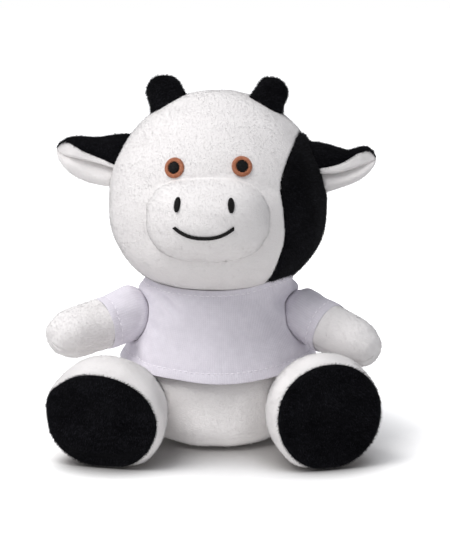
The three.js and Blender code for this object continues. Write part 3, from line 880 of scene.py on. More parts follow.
def muzzle_front(x, z):
    x, z = np.asarray(x, float), np.asarray(z, float)
    across, high = x / MUZZLE_HALF[0], (z - MUZZLE_CENTRE[2]) / MUZZLE_HALF[2]
    share = np.hypot(across, high) / squarish(across, high, MUZZLE_POWER)
    y = MUZZLE_CENTRE[1] - MUZZLE_HALF[1] * np.sqrt(np.maximum(1 - share**2, 0))
    return np.stack([x, y, z], -1)


# %% [markdown]
# ## Embroidery
#
# Eyes, nostrils and mouth are satin stitch: short threads laid side by side over a padded shape.
# One stitch is a thin ball drawn out long. It is copied along each shape, every copy bent a little
# over the padding, and each shape's copies make up one piece.

# %% One stitch, laid many times
stitch = added(
    "stitch_pattern",
    bpy.ops.mesh.primitive_uv_sphere_add,
    segments=8,
    ring_count=6,
    radius=1,
    rotation=(0, math.pi / 2, 0),
)
bpy.ops.object.transform_apply(location=False, rotation=True, scale=False)
STITCH_POINTS = points_of(stitch) * MM
STITCH_POINTS[:, 0] = np.sign(STITCH_POINTS[:, 0]) * np.abs(STITCH_POINTS[:, 0]) ** 0.6
STITCH_FACES = [tuple(face.vertices) for face in stitch.data.polygons]
bpy.data.objects.remove(stitch)


def threads(name, places, ways, outs, lengths, radius, arch):
    """Lays a stitch at each place, along its way, with its back to the skin and its ends lower."""
    places, ways, outs = (np.asarray(a, float) for a in (places, ways, outs))
    lengths = np.broadcast_to(np.asarray(lengths, float), len(places))
    ways = unit(ways - (ways * outs).sum(1, keepdims=True) * outs)
    sides = np.cross(outs, ways)
    x, y, z = STITCH_POINTS.T
    drop = arch * (1 - x**2)
    points, faces = [], []
    for place, way, side, out, length in zip(places, ways, sides, outs, lengths):
        first = len(points) * len(STITCH_POINTS)
        points.append(
            place
            + np.outer(x * length / 2, way)
            + np.outer(y * radius, side)
            + np.outer(z * radius + drop, out)
        )
        faces.extend([tuple(first + i for i in face) for face in STITCH_FACES])
    mesh = bpy.data.meshes.new(name)
    mesh.from_pydata((np.concatenate(points) * MM).tolist(), [], faces)
    made = new_mesh(name, mesh)
    only(made)
    bpy.ops.object.shade_smooth()
    return made


def facing(front, x, z, step=0.5):
    """The outward direction of a front surface at a place."""
    here, right, above = front(x, z), front(x + step, z), front(x, z + step)
    return unit(np.cross(right - here, above - here))


def oval_pad(name, front, x, z, half_width, half_height, dome):
    """The padding under satin stitches: a low dome on the skin."""
    pad = ring_ball(name, 24, 10)
    out = facing(front, x, z)
    up = unit(np.array([0, 0, 1]) - out[2] * out)
    local = points_of(pad) * MM
    place = front(x, z)
    points = (
        place
        + np.outer(local[:, 0] * half_width, np.cross(up, out))
        + np.outer(local[:, 1] * half_height, up)
        + np.outer(local[:, 2] * dome, out)
    )
    return place_points(pad, turn_to_body(points)), place, out, up


def joined(name, *parts):
    only(*parts)
    bpy.ops.object.join()
    parts[0].name = name
    parts[0].data.name = name
    return parts[0]


# %% Eyes
EYE_HEIGHT = {"left": 140.2, "right": 139.1}
EYE_X, RING_RADIUS, PUPIL_RADIUS = 16.1, 4.8, 3.05
RING_PAD_RADIUS, RING_DOME, PUPIL_DOME, RING_THREADS = 4.6, 1.15, 1.75, 46


def laid(name, places, ways, outs, lengths, radius, arch):
    """Lays stitches that are given in the head's own frame."""
    ways, outs = (np.broadcast_to(rows, places.shape) for rows in (ways, outs))
    return threads(
        name,
        turn_to_body(places),
        turned_level(ways, HEAD_TURN),
        turned_level(outs, HEAD_TURN),
        lengths,
        radius,
        arch,
    )


for side, sign in SIDES.items():
    x, z = sign * EYE_X, EYE_HEIGHT[side]
    ring_pad, place, out, up = oval_pad(
        f"ring_pad_{side}", face_front, x, z, RING_PAD_RADIUS, RING_PAD_RADIUS, RING_DOME
    )
    right = np.cross(up, out)
    turns = np.arange(RING_THREADS) * 2 * math.pi / RING_THREADS
    rays = np.outer(np.cos(turns), right) + np.outer(np.sin(turns), up)
    middle = (RING_RADIUS + PUPIL_RADIUS) / 2 + 0.1
    spots = place + rays * middle + out * 0.72
    outs = unit(out + rays * 0.35)
    ring = laid(f"ring_threads_{side}", spots, rays, outs, 2.3, 0.36, 0.35)
    ring = joined(f"eye_ring_threads_{side}", ring, ring_pad)
    finished(ring, "head", COPPER_THREAD, [f"eye_ring_{side}"])
    pupil_pad = oval_pad(
        f"pupil_pad_{side}", face_front, x, z, PUPIL_RADIUS, PUPIL_RADIUS, PUPIL_DOME
    )[0]
    rows = np.arange(-4, 5) * 0.66
    lengths = 2 * np.sqrt(np.maximum(PUPIL_RADIUS**2 - rows**2, 0.5))
    lift = PUPIL_DOME * np.sqrt(1 - (rows / PUPIL_RADIUS) ** 2 * 0.9)
    spots = place + np.outer(rows, up) + np.outer(lift - 0.55, out)
    pupil_rows = laid(f"pupil_threads_{side}", spots, right, out, lengths, 0.4, 0.5)
    pupil = joined(f"pupil_threads_{side}", pupil_rows, pupil_pad)
    finished(pupil, "head", BLACK_THREAD, [f"pupil_{side}"])

# %% Nostrils and mouth
NOSTRIL_X, NOSTRIL_HEIGHT = 12.7, 124
for side, sign in SIDES.items():
    pad, place, out, up = oval_pad(
        f"nostril_pad_{side}", muzzle_front, sign * NOSTRIL_X, NOSTRIL_HEIGHT, 1.5, 3.6, 1.0
    )
    up = unit(up * [0.4, 1, 1])
    right = unit(np.cross(up, out))
    rows = np.linspace(-3.5, 3.5, 13)
    lengths = 2 * 1.65 * np.sqrt(1 - (rows / 3.9) ** 2) + 0.25
    lift = 0.95 * np.sqrt(1 - (rows / 4.2) ** 2)
    spots = place + np.outer(rows, up) + np.outer(lift - 0.35, out)
    nostril = laid(f"nostril_rows_{side}", spots, right, out, lengths, 0.34, 0.4)
    nostril = joined(f"nostril_threads_{side}", nostril, pad)
    finished(nostril, "head", BLACK_THREAD, [f"nostril_{side}"])

MOUTH_HALF = 13.9


def smile_height(shares):
    return 113.3 - 4.6 * (1 - np.abs(shares) ** 2.4)


shares = np.linspace(-1, 1, 52)
spots = muzzle_front(shares * MOUTH_HALF, smile_height(shares))
outs = np.array([facing(muzzle_front, *spot[[0, 2]]) for spot in spots])
along = unit(np.gradient(spots, axis=0))
ways = unit(np.cross(outs, along) + 0.55 * along)
mouth = laid("mouth_threads", spots + outs * 0.25, ways, outs, 2.15, 0.42, 0.35)
finished(mouth, "head", BLACK_THREAD, ["mouth"])


# %% [markdown]
# ## Horns
#
# Each horn is a small black bag, rounded like a thumb and a little flat, whose open end is sewn to
# the crown. Its ball is squared off, and its foot follows the skin of the head.

# %% Horns
def out_of_ball(points, centre, radius):
    away = points - centre
    length = np.linalg.norm(away, axis=1, keepdims=True)
    return np.where(length < radius, centre + away * radius / np.maximum(length, 0.01), points)


HORN_SLOPE = {"left": 4.5, "right": 1.0}
HORN_AT, HORN_SUNK, HORN_SQUARENESS = 0.4748, 2.5, 2.7
HORN_HALF_WIDTH, HORN_HALF_DEPTH, HORN_HEIGHT = 10.5, 6.6, 16.2
horns = {}
for side, sign in SIDES.items():
    horn = even_ball(f"horn_skin_{side}", 14)
    way = points_of(horn) * MM
    spread = squarish(way[:, 0], way[:, 2], HORN_SQUARENESS)
    x = sign * HORN_AT * HEAD_RADIUS
    base = HEAD_CENTRE + HEAD_CROWN * bulge(np.array(x / HEAD_RADIUS), 2) - HORN_SUNK
    over, high = way[:, 0] * spread * sign, way[:, 2] * spread
    tucked = 3.4 * np.clip(over, 0, 1) * (1 - ramp(high, 0, 0.6))
    sloped = HORN_SLOPE[side] * np.clip(-over, 0, 1) * ramp(high, 0.1, 0.9)
    away = sign * (HORN_HALF_WIDTH * over - tucked + sloped)
    points = np.stack([x + away, way[:, 1] * HORN_HALF_DEPTH, base + high * HORN_HEIGHT], 1)
    place_points(horn, out_of_head(points, -0.4))
    smooth_piece(horn, 2, 0.3)
    subdivided(horn)
    points = points_of(horn)
    points += normals_of(horn) * (swirl(points, 9, 20 + sign)[:, :1] * 0.3)
    horns[side] = place_points(horn, turn_to_body(out_of_head(points, -0.4)))


# %% [markdown]
# ## Ears
#
# An ear is a flat leaf with a black back and a white lining. It is sewn on folded: the back rolls
# over the top, the lining's upper edge hangs forward as a lip, and a hollow lies under the lip.
# Four lines drawn from the root to the tip hold that shape: the top edge, the seam between the two
# cloths, the lip and the lower edge. Rings of points are laid across the four lines.

# %% Lines of the ears
EAR_RISE = {"left": 17.4, "right": 19.6}
EAR_LIFT = math.radians(6)
EAR_LINES = {
    # (out from the root, up) in millimetres, from the root inside the head to the tip
    "right": {
        "top": [(-15, 14.4), (-5.6, 13.0), (-0.7, 11.8), (3.6, 10.7), (8.1, 10.0), (14.1, 9.7),
                (18.9, 8.7), (22.2, 6.7), (24.4, 4.6), (25.2, 2.2)],
        "seam": [(-11, -3.2), (-4.9, -1.7), (2.1, 0.4), (7.2, 1.6), (11.4, 2.9), (15.5, 4.7),
                 (18.6, 5.9), (21.7, 6.1), (24.0, 4.3), (25.2, 2.2)],
        "lip": [(-11, -4.8), (-4, -3.3), (1.3, -2.4), (8, -1.8), (14, -1.3), (20.4, -1.1),
                (23.4, 0.2), (25.2, 2.2)],
        "low": [(-9, -13.0), (-2.9, -13.6), (4.1, -13.4), (9.2, -12.6), (14.3, -10.9), (18.1, -8.7),
                (21.9, -5.5), (24.3, -2.0), (25.2, 2.2)],
    },
    "left": {
        "top": [(-14, 13.8), (-7, 13.0), (0.2, 11.0), (5.7, 8.7), (9.8, 7.2), (12.6, 7.7),
                (16.1, 8.5), (19, 8.2), (20.8, 6.8), (22.3, 4.7), (22.9, 1.9)],
        "seam": [(-11, -0.8), (-5.9, -0.1), (0, 0.4), (4.9, 1.2), (9.3, 3.0), (12.8, 4.9),
                 (16.2, 5.8), (19.6, 6.2), (21.7, 4.6), (22.9, 1.9)],
        "lip": [(-11, -3.3), (-4.1, -2.9), (2.9, -3.3), (9.2, -2.5), (15.5, -1.1), (18.9, -0.2),
                (21.4, 0.7), (22.9, 1.9)],
        "low": [(-10, -12.6), (-4.3, -12.8), (2, -11.6), (10.5, -9.4), (16.9, -6.3), (21.1, -2.4),
                (22.5, 0), (22.9, 1.9)],
    },
}
AROUND, SEAM_AT, TOP_AT = 96, 42, 60
LINING_DEPTH, LIP_DEPTH, ROLL_DEPTH, BACK_DEPTH, HOLLOW = 3.5, 4.86, 4.35, 3.6, math.pi * 0.93


def along_line(line, share):
    """Points at shares of the way along a drawn line, on a smooth curve."""
    line = np.array(line, float)
    steps = np.linalg.norm(np.diff(line, axis=0), axis=1)
    far = np.concatenate([[0], np.cumsum(steps)]) / steps.sum()
    return np.stack([share_at(np.stack([far, line[:, i]], 1), share) for i in (0, 1)], 1)


def ear_root(side):
    rise = EAR_RISE[side] / HEAD_CROWN
    x = HEAD_RADIUS * float(bulge(np.array(rise), 2))
    out = unit(np.array([x / HEAD_RADIUS**2, 0, rise / HEAD_CROWN]))
    root = np.array([x, 0, HEAD_CENTRE + EAR_RISE[side]]) + 5.5 * out
    return root * [SIDES[side], 1, 1]


def place_ear(points, side):
    """Length runs along +X from the root in the ear's own frame, and front is -Y."""
    c, s = math.cos(EAR_LIFT), math.sin(EAR_LIFT)
    x, y, z = points.T
    lifted = np.stack([c * x - s * z, y, s * x + c * z], 1)
    lifted[:, 0] *= SIDES[side]
    return lifted + ear_root(side)


# %% Rings across the four lines
def ear_points(ball, side):
    """Lays a unit ring ball over an ear: its columns go up the lining, over the roll and down
    the back."""
    along = np.arccos(np.clip(-ball[:, 2], -1, 1)) / math.pi
    column = (np.arctan2(ball[:, 1], ball[:, 0]) % (2 * math.pi)) / (2 * math.pi) * AROUND
    column = np.round(column) % AROUND
    top, seam, lip, low = (
        along_line(EAR_LINES[side][line], along) for line in ("top", "seam", "lip", "low")
    )

    def between(a, b, share):
        return a + (b - a) * share[:, None]

    lip_at = 0.6 * SEAM_AT
    a = np.clip(column / lip_at, 0, 1)
    b = np.clip((column - lip_at) / (SEAM_AT - lip_at), 0, 1)
    c = np.clip((column - SEAM_AT) / (TOP_AT - SEAM_AT), 0, 1)
    d = np.clip((column - TOP_AT) / (AROUND - TOP_AT), 0, 1)
    panel = between(low, lip, a**1.15)
    panel_depth = LINING_DEPTH * np.sin(HOLLOW * a**0.8)
    hem = between(lip, seam, b)
    fades = 1 - 0.75 * ramp(along, 0.72, 0.97)
    hem[:, 1] -= 0.7 * fades * np.sin(math.pi * np.clip(b / 0.35, 0, 1))
    flat_depth = LINING_DEPTH * math.sin(HOLLOW)
    hem_depth = flat_depth + (LIP_DEPTH - flat_depth) * ramp(b, 0, 0.3) * fades
    hem_depth -= 0.5 * ramp(b, 0.7, 1)
    roll = between(seam, top, np.sin(c * math.pi / 2) ** 1.1)
    roll_depth = ROLL_DEPTH * np.cos(c * math.pi / 2) ** 0.8
    roll_depth += 0.8 * np.sin(math.pi * np.clip(c / 0.8, 0, 1))
    back = between(top, low, (1 - np.cos(math.pi * d)) / 2)
    back_depth = -BACK_DEPTH * np.sin(math.pi * d)
    picks = [column <= lip_at, column <= SEAM_AT, column <= TOP_AT]
    flat = np.select([p[:, None] for p in picks], [panel, hem, roll], back)
    depth = np.select(picks, [panel_depth, hem_depth, roll_depth], back_depth)
    full = (1 - np.clip(along, 0, 1) ** 5) ** 0.55 * (1 - 0.42 * ramp(along, 0.45, 1))
    wave = 0.35 * np.sin(along * 11 + (1 if side == "left" else 0)) * (depth > 0.5)
    points = np.stack([flat[:, 0], -(depth + wave) * full, flat[:, 1]], 1)
    close = np.sqrt(np.clip(along / 0.07, 0, 1))[:, None]
    middle = (top + low) / 2
    centre = np.stack([middle[:, 0], 0 * along, middle[:, 1]], 1)
    return centre + (points - centre) * close, column


def outward(piece):
    """Turns the faces of a closed or nearly closed piece outwards, by the sign of its volume."""
    points, corners = points_of(piece), triangles_of(piece.data)
    a, b, c = (points[corners[:, i]] for i in range(3))
    if (np.cross(a, b) * c).sum() < 0:
        piece.data.flip_normals()
    return piece


def columns_kept(piece, column, low, high):
    """For each face, true if it lies between two columns of its ring ball."""
    kept = []
    for face in piece.data.polygons:
        own = [column[i] for i in face.vertices if 0 <= column[i]]
        wraps = max(own) - min(own) > AROUND / 2
        own = [c + AROUND if wraps and c < AROUND / 2 else c for c in own]
        kept.append(min(own) >= low and max(own) <= high)
    return np.array(kept)


# %% Ears
ears = {}
for side in SIDES:
    bag = ring_ball(f"ear_bag_{side}", AROUND, 72)
    ball = points_of(bag) * MM
    points, column = ear_points(ball, side)
    points += swirl(points, 13, 15)[:, :1] * [0, 0.25, 0]
    pole = np.hypot(ball[:, 0], ball[:, 1]) < 1e-4
    column = np.where(pole, -1, column)
    sunk = out_of_head(place_ear(points, side), -1.2)
    place_points(bag, turn_to_body(sunk))
    outward(bag)
    below = columns_kept(bag, column, AROUND - 4, AROUND)
    white = below | columns_kept(bag, column, 0, SEAM_AT)
    parts = []
    for name, keep in (("back", ~white), ("lining", white)):
        part = copy_of(bag, f"ear_{name}_skin_{side}")
        keep_faces(part, keep)
        parts.append(thickened(part, 0.45))
    bpy.data.objects.remove(bag)
    ears[side] = parts
    print("ear", side, "at", ear_root(side).round(1))

# %% [markdown]
# ## Where the head grows no pile
#
# Pile is left off where another piece covers the skin or where thread holds it down: under the
# panel, the muzzle, the eyes and the ear roots, and where the collar hides the neck.

# %% Pile of the head and its parts
NECK_TOP = 73


def in_oval(points, x, z, half_width, half_height):
    """True within an oval on the face, for points in the head's own frame."""
    across, high = (points[:, 0] - x) / half_width, (points[:, 2] - z) / half_height
    return (np.hypot(across, high) < 1) & (points[:, 1] < 0)


def near_ear(points, side, wide, deep):
    return np.linalg.norm((points - ear_root(side)) / [wide, deep, wide], axis=1) < 1


def bare_head(points):
    local = turn_to_head(points)
    bare = (past_seam(local) > -0.2) | (muzzle_share(local) < 0.99) | (local[:, 2] < NECK_TOP)
    for side, sign in SIDES.items():
        bare |= in_oval(local, sign * EYE_X, EYE_HEIGHT[side], 5.2, 5.2)
        bare |= near_ear(local, side, 13, 6)
    return bare


def bare_panel(points):
    local = turn_to_head(points)
    covered = near_ear(local, "left", 12, 5) | (local[:, 2] < NECK_TOP)
    return (head_share(local, -0.6) < 1) | covered


def bare_muzzle(points):
    local = turn_to_head(points)
    bare = head_share(local, 0.3) < 1
    for sign in SIDES.values():
        bare |= in_oval(local, sign * NOSTRIL_X, NOSTRIL_HEIGHT, 1.9, 3.9)
    off_smile = np.abs(local[:, 2] - smile_height(np.clip(local[:, 0] / MOUTH_HALF, -1, 1)))
    return bare | ((np.abs(local[:, 0]) < MOUTH_HALF) & (off_smile < 0.9) & (local[:, 1] < 0))


def bare_in_head(points):
    return head_share(turn_to_head(points), 0.2) < 1


def ear_edge(side):
    """Places along an ear's lower edge, where the lining's pile lies over the back's."""
    low = along_line(EAR_LINES[side]["low"], np.linspace(0.2, 1, 60))
    return turn_to_body(place_ear(np.stack([low[:, 0], 0 * low[:, 0], low[:, 1]], 1), side))


def bare_ear_back(points, side):
    away = np.linalg.norm(points[:, None] - ear_edge(side)[None], axis=2).min(1)
    return bare_in_head(points) | (away < 2.6)


with_pile(head, "head", WHITE_PLUSH, ["head"], bare_head, seed=1)
with_pile(panel, "head", BLACK_PLUSH, ["head_panel"], bare_panel, seed=2)
with_pile(muzzle, "head", WHITE_PLUSH, ["muzzle"], bare_muzzle, seed=3)
for side, horn in horns.items():
    stands_for = [f"horn_{side}"]
    with_pile(horn, "head", BLACK_PLUSH, stands_for, bare_in_head, seed=4, comb=(0, 0, -0.6))
for side, (back, lining) in ears.items():
    body = f"ear_{side}"
    edge = lambda points, side=side: bare_ear_back(points, side)
    stands_for = [f"ear_back_{side}"], [f"ear_lining_{side}"]
    with_pile(back, body, BLACK_PLUSH, stands_for[0], edge, length=1.2, seed=5)
    with_pile(lining, body, WHITE_PLUSH, stands_for[1], bare_in_head, length=0.9, seed=6)

# %% [markdown]
# ## Torso
#
# The torso is a pear: widest just above the seat, flat where it sits and drawn in under the head.
# Hollows are pressed in where the head, the legs, the arms and the tail are sewn on, so that each
# of them can turn in its place.

# %% Torso
SHIRT_TOP, HEM_FRONT, HEM_SIDE, HEM_BACK = 79.5, 33.6, 38.5, 35
TAIL_HEIGHT, TAIL_DROOP, TAIL_OUT = 24, math.radians(35), 3.6
TAIL_PIVOT = np.array([0, float(torso_radius(TAIL_HEIGHT) * torso_depth(TAIL_HEIGHT)), TAIL_HEIGHT])
TAIL_PIVOT += [0, TAIL_OUT - BODY_BACK, 0]
TAIL_WAY = np.array([0, math.cos(TAIL_DROOP), -math.sin(TAIL_DROOP)])
HEAD_ROOM, HIP_ROOM, SLEEVE_ROOM, TAIL_HOLLOW = 0.8, 0.5, 0.9, 5.5
WORN_FLAT, SEAM_FURROW = 1.6, 0.5
BELLY_SAG, SAG_HEIGHT, SAG_HALF_WIDTH = 10, 24, 26


def above_floor(piece):
    points = points_of(piece)
    points[:, 2] = np.maximum(points[:, 2], 0)
    return place_points(piece, points)


torso = ring_ball("torso_skin", 104, 76)
heights = np.linspace(0, TORSO_HEIGHT, 80)
profile = [(0, 0), *zip(heights, torso_radius(heights)), (TORSO_HEIGHT, 0)]
points = turned(torso, profile)
points[:, 1] = points[:, 1] * torso_depth(points[:, 2]) - BODY_BACK
place_points(torso, points)
smooth_piece(torso, 2, 0.4)
stuff(torso, np.maximum(1 - ramp(points[:, 2], 0.4, 3), ramp(points[:, 2], 60, 66)), 3, 1.0)
points, normals = points_of(torso), normals_of(torso)
worn = ramp(points[:, 2], HEM_FRONT - 4, HEM_FRONT + 6)
points += normals * (swirl(points, 24, 31)[:, :1] * 0.4 - WORN_FLAT * worn[:, None])
side_seam = hump(points[:, 1] + BODY_BACK, 0.9) * (points[:, 2] > 1)
back_seam = hump(points[:, 0], 0.8) * (points[:, 1] > 0)
points -= normals * (SEAM_FURROW * (side_seam + back_seam))[:, None]
points[:, 2] = np.maximum(points[:, 2], 0)
low_front = (1 - ramp(points[:, 2], 0, SAG_HEIGHT)) * ramp(-points[:, 1] - BODY_BACK, 4, 24)
points[:, 1] -= BELLY_SAG * low_front * np.exp(-((points[:, 0] / SAG_HALF_WIDTH) ** 4))
points = turn_to_body(out_of_head(turn_to_head(points), HEAD_ROOM))
for side in SIDES:
    points = out_of_ball(points, HIP[side], HIP_RADIUS + HIP_ROOM)
    points = out_of_ball(points, SHOULDER[side], SLEEVE_RADIUS + SLEEVE_ROOM)
points = out_of_ball(points, TAIL_PIVOT, TAIL_HOLLOW)
place_points(torso, points)


def bare_torso(points):
    bare = (points[:, 2] > HEM_FRONT + 7) | (points[:, 2] < 0.6)
    for side in SIDES:
        bare |= np.linalg.norm(points - HIP[side], axis=1) < HIP_RADIUS + 0.8
    return bare | (np.linalg.norm(points - TAIL_PIVOT, axis=1) < 6)


with_pile(torso, "torso", WHITE_PLUSH, ["torso"], bare_torso, seed=7)

# %% [markdown]
# ## Legs
#
# A leg is a barrel that starts as a ball in the hip's hollow and widens to the sole. The sole is a
# round black pad sewn across its end. The barrel leans over near the sole and is pressed flat
# where it lies on the floor, and the seam between the two is drawn in a little.

# %% Legs and soles
LEG_SHARES = [(0, 0), (0.2, 0.38), (0.42, 0.78), (0.62, 1.04), (0.8, 1.1), (0.94, 1)]
SOLE_WALL, PRESS_HEIGHT = 3, 1.5
LEG_BULGE = {"left": 0.6, "right": 2.2}


def root_ball(radius, steps=12):
    angles = np.arange(steps) / steps * math.pi / 2
    return [(-radius * math.cos(a), radius * math.sin(a)) for a in angles]


def lean(points, side):
    """Leans the sole's end of a leg over, in the leg's own frame."""
    angle = SOLE_TILT[side] * ramp(points[:, 2], 0.4 * LEG_LENGTH, LEG_LENGTH)
    leant = points.copy()
    # the upper half of the end comes forward by the whole lean, the half on the floor by less
    leant[:, 2] += np.where(points[:, 0] < 0, 0.4, 1) * points[:, 0] * np.sin(angle)
    leant[:, 0] *= np.cos(angle)
    return leant


# how much wider, in millimetres, at each angle seen from in front, from the viewer's right
SOLE_OUTLINE = {
    "right": [
        (0, 1.1), (30, 1.1), (45, 0.4), (60, -0.6), (90, -1.4), (120, -1.1), (135, -0.6),
        (150, 0.8), (180, 0.7), (210, 1.4), (240, 0.8), (270, 0.2), (300, 1.2), (330, 0.9),
        (360, 1.1),
    ],
    "left": [
        (0, -2.0), (45, -2.2), (90, -2.0), (120, -1.1), (150, 0), (180, 0.3), (210, 0.8),
        (240, 1.0), (270, 0), (300, -1.2), (330, -1.8), (360, -2.0),
    ],
}


def outlined(points, side):
    """Gives the sole's end of a leg its own hand-sewn outline, and its top a soft bulge."""
    angle = (np.degrees(np.arctan2(points[:, 1], points[:, 0])) + 90) % 360
    near_sole = ramp(points[:, 2], 0.6 * LEG_LENGTH, LEG_LENGTH - 3)
    wider = share_at(SOLE_OUTLINE[side], angle) * near_sole
    bulging = LEG_BULGE[side] * hump(angle - 100, 38)
    wider += bulging * hump(points[:, 2] / LEG_LENGTH - 0.7, 0.15)
    shaped = points.copy()
    shaped[:, :2] *= (1 + wider / SOLE_RADIUS)[:, None]
    return shaped


def on_floor(heights):
    """Presses what would lie under the floor up onto it, over a soft height."""
    pressed = PRESS_HEIGHT * np.exp(np.minimum(heights - PRESS_HEIGHT, 0) / PRESS_HEIGHT)
    return np.where(heights < PRESS_HEIGHT, pressed, heights)


def leg_placed(points, side):
    placed = aimed(lean(outlined(points, side), side), LEG_WAY[side], HIP[side])
    placed[:, 2] = on_floor(placed[:, 2])
    return placed


def off_sole(points, side):
    """How far past the leg's end points lie, and whether they are inside the sole's seam."""
    way = LEG_WAY[side]
    away = points - (HIP[side] + (LEG_LENGTH - SOLE_WALL) * way)
    past = away @ way
    return past, np.linalg.norm(away - np.outer(past, way), axis=1) < SOLE_RADIUS - 3.5


for side in SIDES:
    leg = ring_ball(f"leg_skin_{side}", 84, 60)
    end = LEG_LENGTH - SOLE_WALL
    along = np.linspace(0, 0.955, 30)
    radii = HIP_RADIUS + (SOLE_RADIUS - HIP_RADIUS) * share_at(LEG_SHARES, along * end / LEG_LENGTH)
    profile = [
        *root_ball(HIP_RADIUS),
        *zip(along * end, radii),
        (0.985 * end, SOLE_RADIUS * 0.985),
        (end, SOLE_RADIUS * 0.955),
        (end, 0),
    ]
    local = turned(leg, profile)
    place_points(leg, local)
    smooth_piece(leg, 3, 0.4)
    local = points_of(leg)
    free = ramp(local[:, 2], 8, 16) * (1 - ramp(local[:, 2], end - 5, end - 1))
    stuff(leg, 1 - free, 3, 1.0)
    local, normals = points_of(leg), normals_of(leg)
    local += normals * (swirl(local, 20, 40)[:, :1] * 0.35)
    place_points(leg, leg_placed(local, side))
    subdivided(leg)
    above_floor(leg)

    sole = ring_ball(f"sole_skin_{side}", 84, 56)
    start = end + 0.1
    rim = SOLE_RADIUS * 0.985
    bend = np.linspace(0.06, 1, 8) * math.pi / 2
    drawn_in = 0.12 * SOLE_RADIUS
    rounded = [(start + 0.6 + 2.6 * math.sin(a), rim - drawn_in * (1 - math.cos(a))) for a in bend]
    profile = [
        (start, 0),
        (start, rim - 1.0),
        (start + 0.4, rim),
        *rounded,
        (LEG_LENGTH + 1.6, SOLE_RADIUS * 0.62),
        (LEG_LENGTH + 2.2, SOLE_RADIUS * 0.3),
        (LEG_LENGTH + 2.4, 0),
    ]
    local = turned(sole, profile)
    dome = ramp(local[:, 2], start + 1, LEG_LENGTH)
    local[:, 2] += dome * swirl(local, 16, 44)[:, 0] * 0.35
    place_points(sole, leg_placed(local, side))
    smooth_piece(sole, 2, 0.4)
    subdivided(sole)
    above_floor(sole)

    def bare_leg(points, side=side):
        past, within = off_sole(points, side)
        return (points[:, 2] < 0.5) | ((past > -1.5) & within)

    def bare_sole(points, side=side):
        past, within = off_sole(points, side)
        return (points[:, 2] < 0.5) | ((past < 1.2) & within & (points[:, 2] > 5))

    with_pile(leg, f"leg_{side}", WHITE_PLUSH, [f"leg_{side}"], bare_leg, seed=8)
    with_pile(sole, f"leg_{side}", BLACK_PLUSH, [f"sole_{side}"], bare_sole, seed=9)

# %% [markdown]
# ## Arms
#
# An arm is a rounded stump with a ball at its root, hidden in the sleeve. Its two halves are sewn
# together along a seam that shows as a fine furrow on the lower front.

# %% Arms
ARM_SHARES = [
    (0, 1), (0.25, 1.06), (0.35, 1.12), (0.5, 1.12), (0.66, 1.12), (0.8, 1.02), (0.91, 0.77),
]
TIP_AT = 0.91
ARM_SEAM, SEAM_DEPTH, SEAM_WIDTH = math.radians(126), 0.9, 1.1


def arm_radius(along):
    """The arm's radius at a share of its length, closing to a round tip."""
    body = ARM_RADIUS * share_at(ARM_SHARES, np.minimum(along, TIP_AT))
    tip = ARM_RADIUS * 0.77 * np.sqrt(np.clip(1 - ((along - TIP_AT) / 0.09) ** 2, 0, 1))
    return np.where(along <= TIP_AT, body, tip)


for side, sign in SIDES.items():
    arm = ring_ball(f"arm_skin_{side}", 72, 56)
    tip = TIP_AT + 0.09 * np.sin(np.linspace(0.1, 1, 9) * math.pi / 2)
    along = np.concatenate([np.linspace(0, 0.9, 26), tip])
    profile = [*root_ball(ARM_RADIUS), *zip(along * ARM_LENGTH, arm_radius(along))]
    place_points(arm, turned(arm, profile))
    smooth_piece(arm, 4, 0.5)
    local = points_of(arm)
    stuff(arm, 1 - ramp(local[:, 2], 8, 15), 3, 0.8)
    local, normals = points_of(arm), normals_of(arm)
    bearing = np.arctan2(local[:, 1], local[:, 0]) * sign
    off_seam = (bearing - ARM_SEAM + math.pi) % (2 * math.pi) - math.pi
    seam = hump(off_seam * 13, SEAM_WIDTH) * ramp(local[:, 2], 2, 6)
    local += normals * (swirl(local, 16, 50)[:, :1] * 0.3 - SEAM_DEPTH * seam[:, None])
    place_points(arm, aimed(local, ARM_WAY[side], SHOULDER[side]))
    subdivided(arm)

    def bare_arm(points, side=side):
        return (points - SHOULDER[side]) @ ARM_WAY[side] < SLEEVE_LENGTH - 2.5

    with_pile(arm, f"arm_{side}", WHITE_PLUSH, [f"arm_{side}"], bare_arm, seed=10)

# %% [markdown]
# ## Tail
#
# The back of the toy isn't seen in the photograph. Toys of this kind have a short stuffed tail with
# a dark tip of longer pile, so that is what this one gets.

# %% Tail
tail = ring_ball("tail_skin", 32, 32)
profile = [*root_ball(5), (0, 5), (10, 4.3), (19.4, 4.05), (20, 3.6), (20, 0)]
local = turned(tail, profile)
place_points(tail, aimed(local, TAIL_WAY, TAIL_PIVOT))
smooth_piece(tail, 2, 0.4)
tuft = ring_ball("tail_tuft_skin", 36, 32)
shares = 0.04 + np.linspace(0, 1, 24) * 0.96
swell = bulge(2 * shares**0.8 - 1, 1.8)
profile = [(20.3, 0), *zip(20.3 + shares * 17, 7.3 * swell)]
place_points(tuft, aimed(turned(tuft, profile), TAIL_WAY, TAIL_PIVOT))
for piece in (tail, tuft):
    subdivided(piece)
with_pile(tail, "tail", WHITE_PLUSH, ["tail"], lambda p: p[:, 1] < TAIL_PIVOT[1] - 2, seed=11)
with_pile(tuft, "tail", BLACK_PLUSH, ["tail_tuft"], length=2.2, seed=12, comb=TAIL_WAY)

# %% [markdown]
# ## Shirt
#
# The shirt is a tube of thin jersey with a turned hem and neck and two short sleeves. It is wider
# at the hem than at the neck, and it hangs in shallow flutes from the chest. A grid is wrapped
# round the torso by a rule that gives each point its bearing and its share of the way up, and the
# grid's own UV map becomes the cloth's, measured in millimetres.

